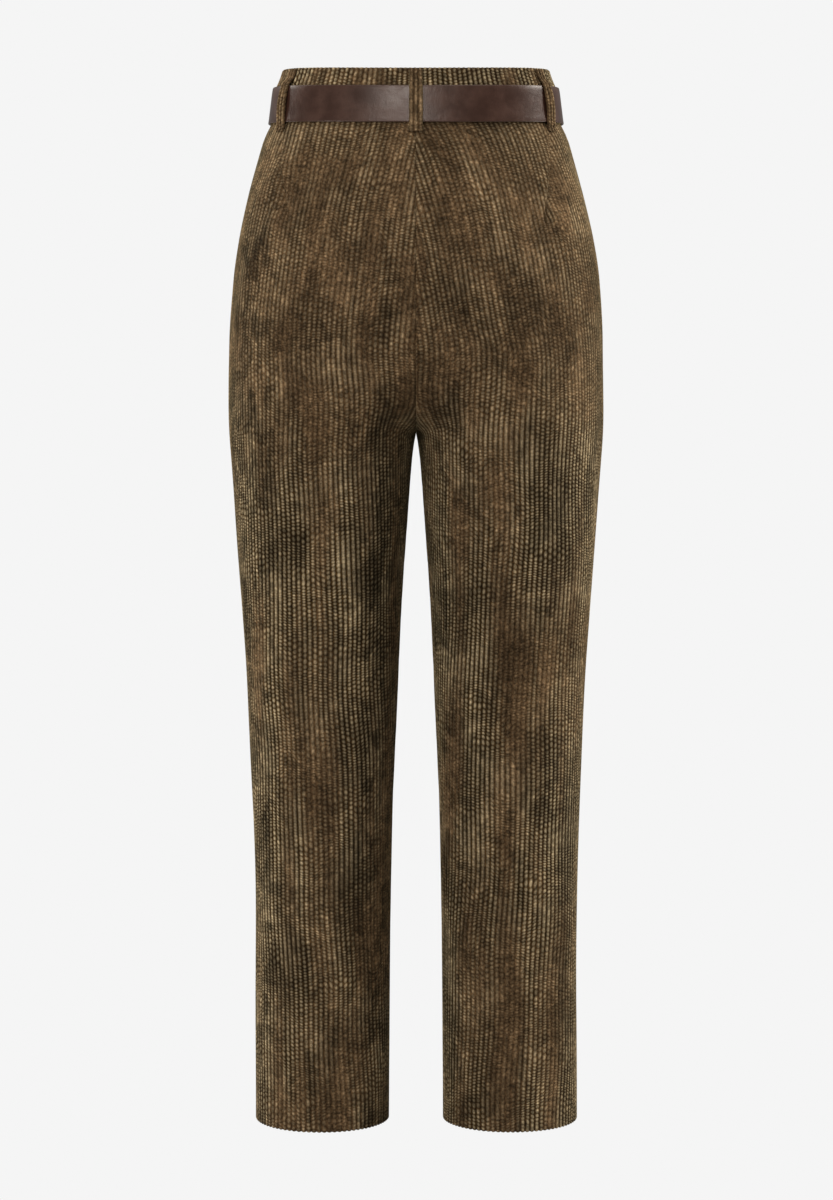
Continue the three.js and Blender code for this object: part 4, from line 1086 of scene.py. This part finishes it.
def belt_strap():
    """The strap with its holes punched through."""
    path = belt_path()
    tip_start = WAIST + TAIL_END - TAIL_TIP
    into = np.maximum(0, (path[:, 0] - tip_start) / TAIL_TIP)
    half = BELT_WIDE / 2 * np.sqrt(np.maximum(0.04, 1 - into**2))
    section = strap_section(BELT_THICK, 0.8)
    z = section[None, :, 0] * half[:, None] + section[None, :, 1]
    arc, out = beside(path, section[None, :, 2])
    rings = around_waist(arc, z, out)
    run = walked(path)
    grain = np.stack([np.broadcast_to(run[:, None], z.shape), z], axis=-1).reshape(-1, 2)
    strap = swept("belt_leather", rings, [leather], grain)
    punches = [cutter(USED_HOLE, 13, PRONG_WIDE + 1, 7, 3.2), cutter(0.0, 14, PRONG_WIDE + 1.4, 4.6, 4.6)]
    for hole in (-2, -1, 1, 2):
        arc = USED_HOLE + hole * HOLE_PITCH
        punches.append(cutter(arc, 4, 4, float(tail_out(np.array(arc))), BELT_THICK * 0.52 + 0.15))
    for punch in punches:
        cut = strap.modifiers.new("hole", "BOOLEAN")
        cut.object = punch
        cut.operation = "DIFFERENCE"
        cut.solver = "EXACT"
    kept = bpy.data.meshes.new_from_object(strap.evaluated_get(bpy.context.evaluated_depsgraph_get()))
    strap.modifiers.clear()
    strap.data = kept
    kept.set_sharp_from_angle(angle=math.radians(50))
    for punch in punches:
        bpy.data.objects.remove(punch)
    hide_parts("belt_strap")


belt_strap()

# Belt buckle.
# A plain frame of round metal bar with eased corners, bent to the waist's curve, with a dull
# brass finish. The strap's folded end holds its hinge bar.
buckle_metal = metal_finish("dull_brass", (0.42, 0.33, 0.19, 1), 0.3, (0.27, 0.2, 0.11, 1))


def rounded_outline(low, high, radius, steps, count):
    """A rounded rectangle between two corners, in even steps, with the length walked to each point."""
    outline = []
    for turn, (x, y) in enumerate((high, (low[0], high[1]), low, (high[0], low[1]))):
        x += radius if x == low[0] else -radius
        y += radius if y == low[1] else -radius
        for step in range(steps):
            angle = math.radians(90 * (turn + step / (steps - 1)))
            outline.append((x + radius * math.cos(angle), y + radius * math.sin(angle)))
    outline = np.array(outline + outline[:1])
    lengths = walked(outline)
    walk = np.linspace(0, lengths[-1], count + 1)[:-1]
    return np.stack([np.interp(walk, lengths, column) for column in outline.T], axis=-1), walk


buckle_high = BELT_WIDE / 2 + 3.6
outline, _ = rounded_outline((BAR_REACH, -buckle_high), (0.0, buckle_high), 5.0, 9, 120)
angle = np.linspace(0, 2 * np.pi, 21)[:-1][None, :]
arc, z = beside(outline, BAR_RADIUS * np.cos(angle), True)
buckle_rings = around_waist(arc, z, BAR_OUT + BAR_RADIUS * np.sin(angle))
buckle = swept("belt_buckle_metal", buckle_rings, [buckle_metal], closed=True)
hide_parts("belt_buckle")

# Belt prong.
# A flat rod of the same metal, bent round the hinge bar. It comes up through the strap's hole and
# rests on the far bar.
PRONG_HALF_THICK = 0.7
bend_round = BAR_RADIUS + 0.3 + PRONG_HALF_THICK
bends = np.radians(np.arange(205, 426, 15))
prong_path = [(bend_round * math.cos(a), BAR_OUT + bend_round * math.sin(a)) for a in bends]
prong_top = BAR_OUT + bend_round
prong_path += [(-1, prong_top), (-12, prong_top + 0.2), (-28, prong_top + 0.2)]
prong_path += [(BAR_REACH, prong_top + 0.2), (BAR_REACH - 3.5, prong_top - 0.4)]
prong_path = eased(prong_path, 0.5, 1.0)
angle = np.linspace(0, 2 * np.pi, 17)[:-1][None, :]
from_tip = np.arange(len(prong_path))[::-1, None] * 0.5
narrow = np.sqrt(1 - np.clip(1 - from_tip / 2.2, 0, 0.97) ** 2)
z = PRONG_WIDE / 2 * np.sign(np.cos(angle)) * np.abs(np.cos(angle)) ** 0.7 * narrow
arc, out = beside(prong_path, PRONG_HALF_THICK * np.sin(angle) * np.sqrt(narrow))
prong = swept("belt_prong_metal", around_waist(arc, z, out), [buckle_metal])
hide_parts("belt_prong")

# Belt keeper.
# A narrow ring of the same leather round the strap and its tail.
KEEPER_MIDDLE = 28.5
KEEPER_HALF_WIDE = 4.5
KEEPER_THICK = 1.3
keeper_high = BELT_WIDE / 2 + CLEAR + KEEPER_THICK / 2
keeper_low = LAYER_FIRST + BELT_THICK / 2 + CLEAR - 0.05 + KEEPER_THICK / 2
keeper_top = LAYER_MAIN + LAYER_STEP + BELT_THICK / 2 + CLEAR + KEEPER_THICK / 2
around, walk = rounded_outline((-keeper_high, keeper_low), (keeper_high, keeper_top), 0.8, 5, 90)
over, off, rise = strap_section(KEEPER_THICK, 0.35).T
keeper_arcs = KEEPER_MIDDLE + over * KEEPER_HALF_WIDE + off
z, out = beside(around, rise[None, :] * 0.94, True)
keeper_rings = around_waist(keeper_arcs[None, :], z, out)
over, along = np.broadcast_arrays(walk[:, None], keeper_arcs[None, :] - KEEPER_MIDDLE)
keeper_grain = np.stack([over, along], axis=-1).reshape(-1, 2)
keeper = swept("belt_keeper_leather", keeper_rings, [leather], keeper_grain, closed=True)
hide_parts("belt_keeper")

# Floor, background and light.
# A plain pale floor and background. Soft lights stand above the camera and low on its left, and
# others overhead and at both sides, which draw the light edges of the legs.
PALE = (0.913, 0.913, 0.913, 1)
FLOOR_LEVEL = -1.3
floor_corners = [(x, y, FLOOR_LEVEL) for x, y in ((-9, -9), (9, -9), (9, 9), (-9, 9))]
floor_mesh = bpy.data.meshes.new("floor")
floor_mesh.from_pydata(floor_corners, [], [(0, 1, 2, 3)])
floor = bpy.data.objects.new("floor", floor_mesh)
bpy.context.scene.collection.objects.link(floor)
floor_material = bpy.data.materials.new("pale_floor")
floor_material.use_nodes = True
floor_tree = floor_material.node_tree
floor_tree.nodes.clear()
floor_glow = put(floor_tree, "ShaderNodeEmission", {"Color": PALE, "Strength": 1.0})
floor_out = floor_tree.nodes.new("ShaderNodeOutputMaterial")
floor_tree.links.new(floor_glow, floor_out.inputs["Surface"])
floor_mesh.materials.append(floor_material)
floor.visible_diffuse = False
floor.visible_glossy = False

world = bpy.data.worlds.new("studio")
bpy.context.scene.world = world
world.use_nodes = True
world_tree = world.node_tree
world_tree.nodes.clear()
seen = put(world_tree, "ShaderNodeLightPath", {}, 0)
room = put(world_tree, "ShaderNodeBackground", {"Color": (1.0, 0.98, 0.95, 1), "Strength": 0.27})
backdrop = put(world_tree, "ShaderNodeBackground", {"Color": PALE, "Strength": 1.0})
both = put(world_tree, "ShaderNodeMixShader", {0: seen, 1: room, 2: backdrop})
world_out = world_tree.nodes.new("ShaderNodeOutputWorld")
world_tree.links.new(both, world_out.inputs["Surface"])


def soft_light(name, place, towards, size, power, tint):
    """A rectangular softbox that faces a point."""
    lamp = bpy.data.lights.new(name, "AREA")
    lamp.shape = "RECTANGLE"
    lamp.size, lamp.size_y = size
    lamp.energy = power
    lamp.color = tint
    holder = bpy.data.objects.new(name, lamp)
    bpy.context.scene.collection.objects.link(holder)
    holder.location = place
    way = np.array(towards, float) - np.array(place, float)
    tilt = math.atan2(math.hypot(way[0], way[1]), -way[2])
    holder.rotation_euler = (tilt, 0, math.atan2(way[0], -way[1]) + math.pi)


soft_light("front_softbox", (-0.32, -2.95, 1.25), (0, 0, -0.2), (0.45, 0.9), 31, (1.0, 0.98, 0.96))
soft_light("left_softbox", (-2.0, -2.2, -0.75), (0, 0, -0.4), (0.8, 1.1), 37, (1.0, 0.98, 0.96))
soft_light("left_rim_high", (-1.9, 0.7, 1.15), (0, 0, -0.3), (1.1, 0.9), 27, (1.0, 0.99, 0.95))
soft_light("left_rim_low", (-1.9, 0.7, -0.75), (0, 0, -0.5), (1.1, 0.9), 16, (1.0, 0.99, 0.95))
soft_light("right_strip_high", (1.9, 0.2, 1.15), (0, 0, -0.3), (1.0, 0.9), 42, (1.0, 0.99, 0.95))
soft_light("right_strip_low", (1.9, 0.2, -0.75), (0, 0, -0.5), (1.0, 0.9), 24, (1.0, 0.99, 0.95))
soft_light("top_softbox", (0.2, -0.8, 2.2), (0, 0, -0.4), (1.6, 1.2), 22, (1.0, 1.0, 1.0))

scene = bpy.context.scene
scene.view_settings.view_transform = "Standard"
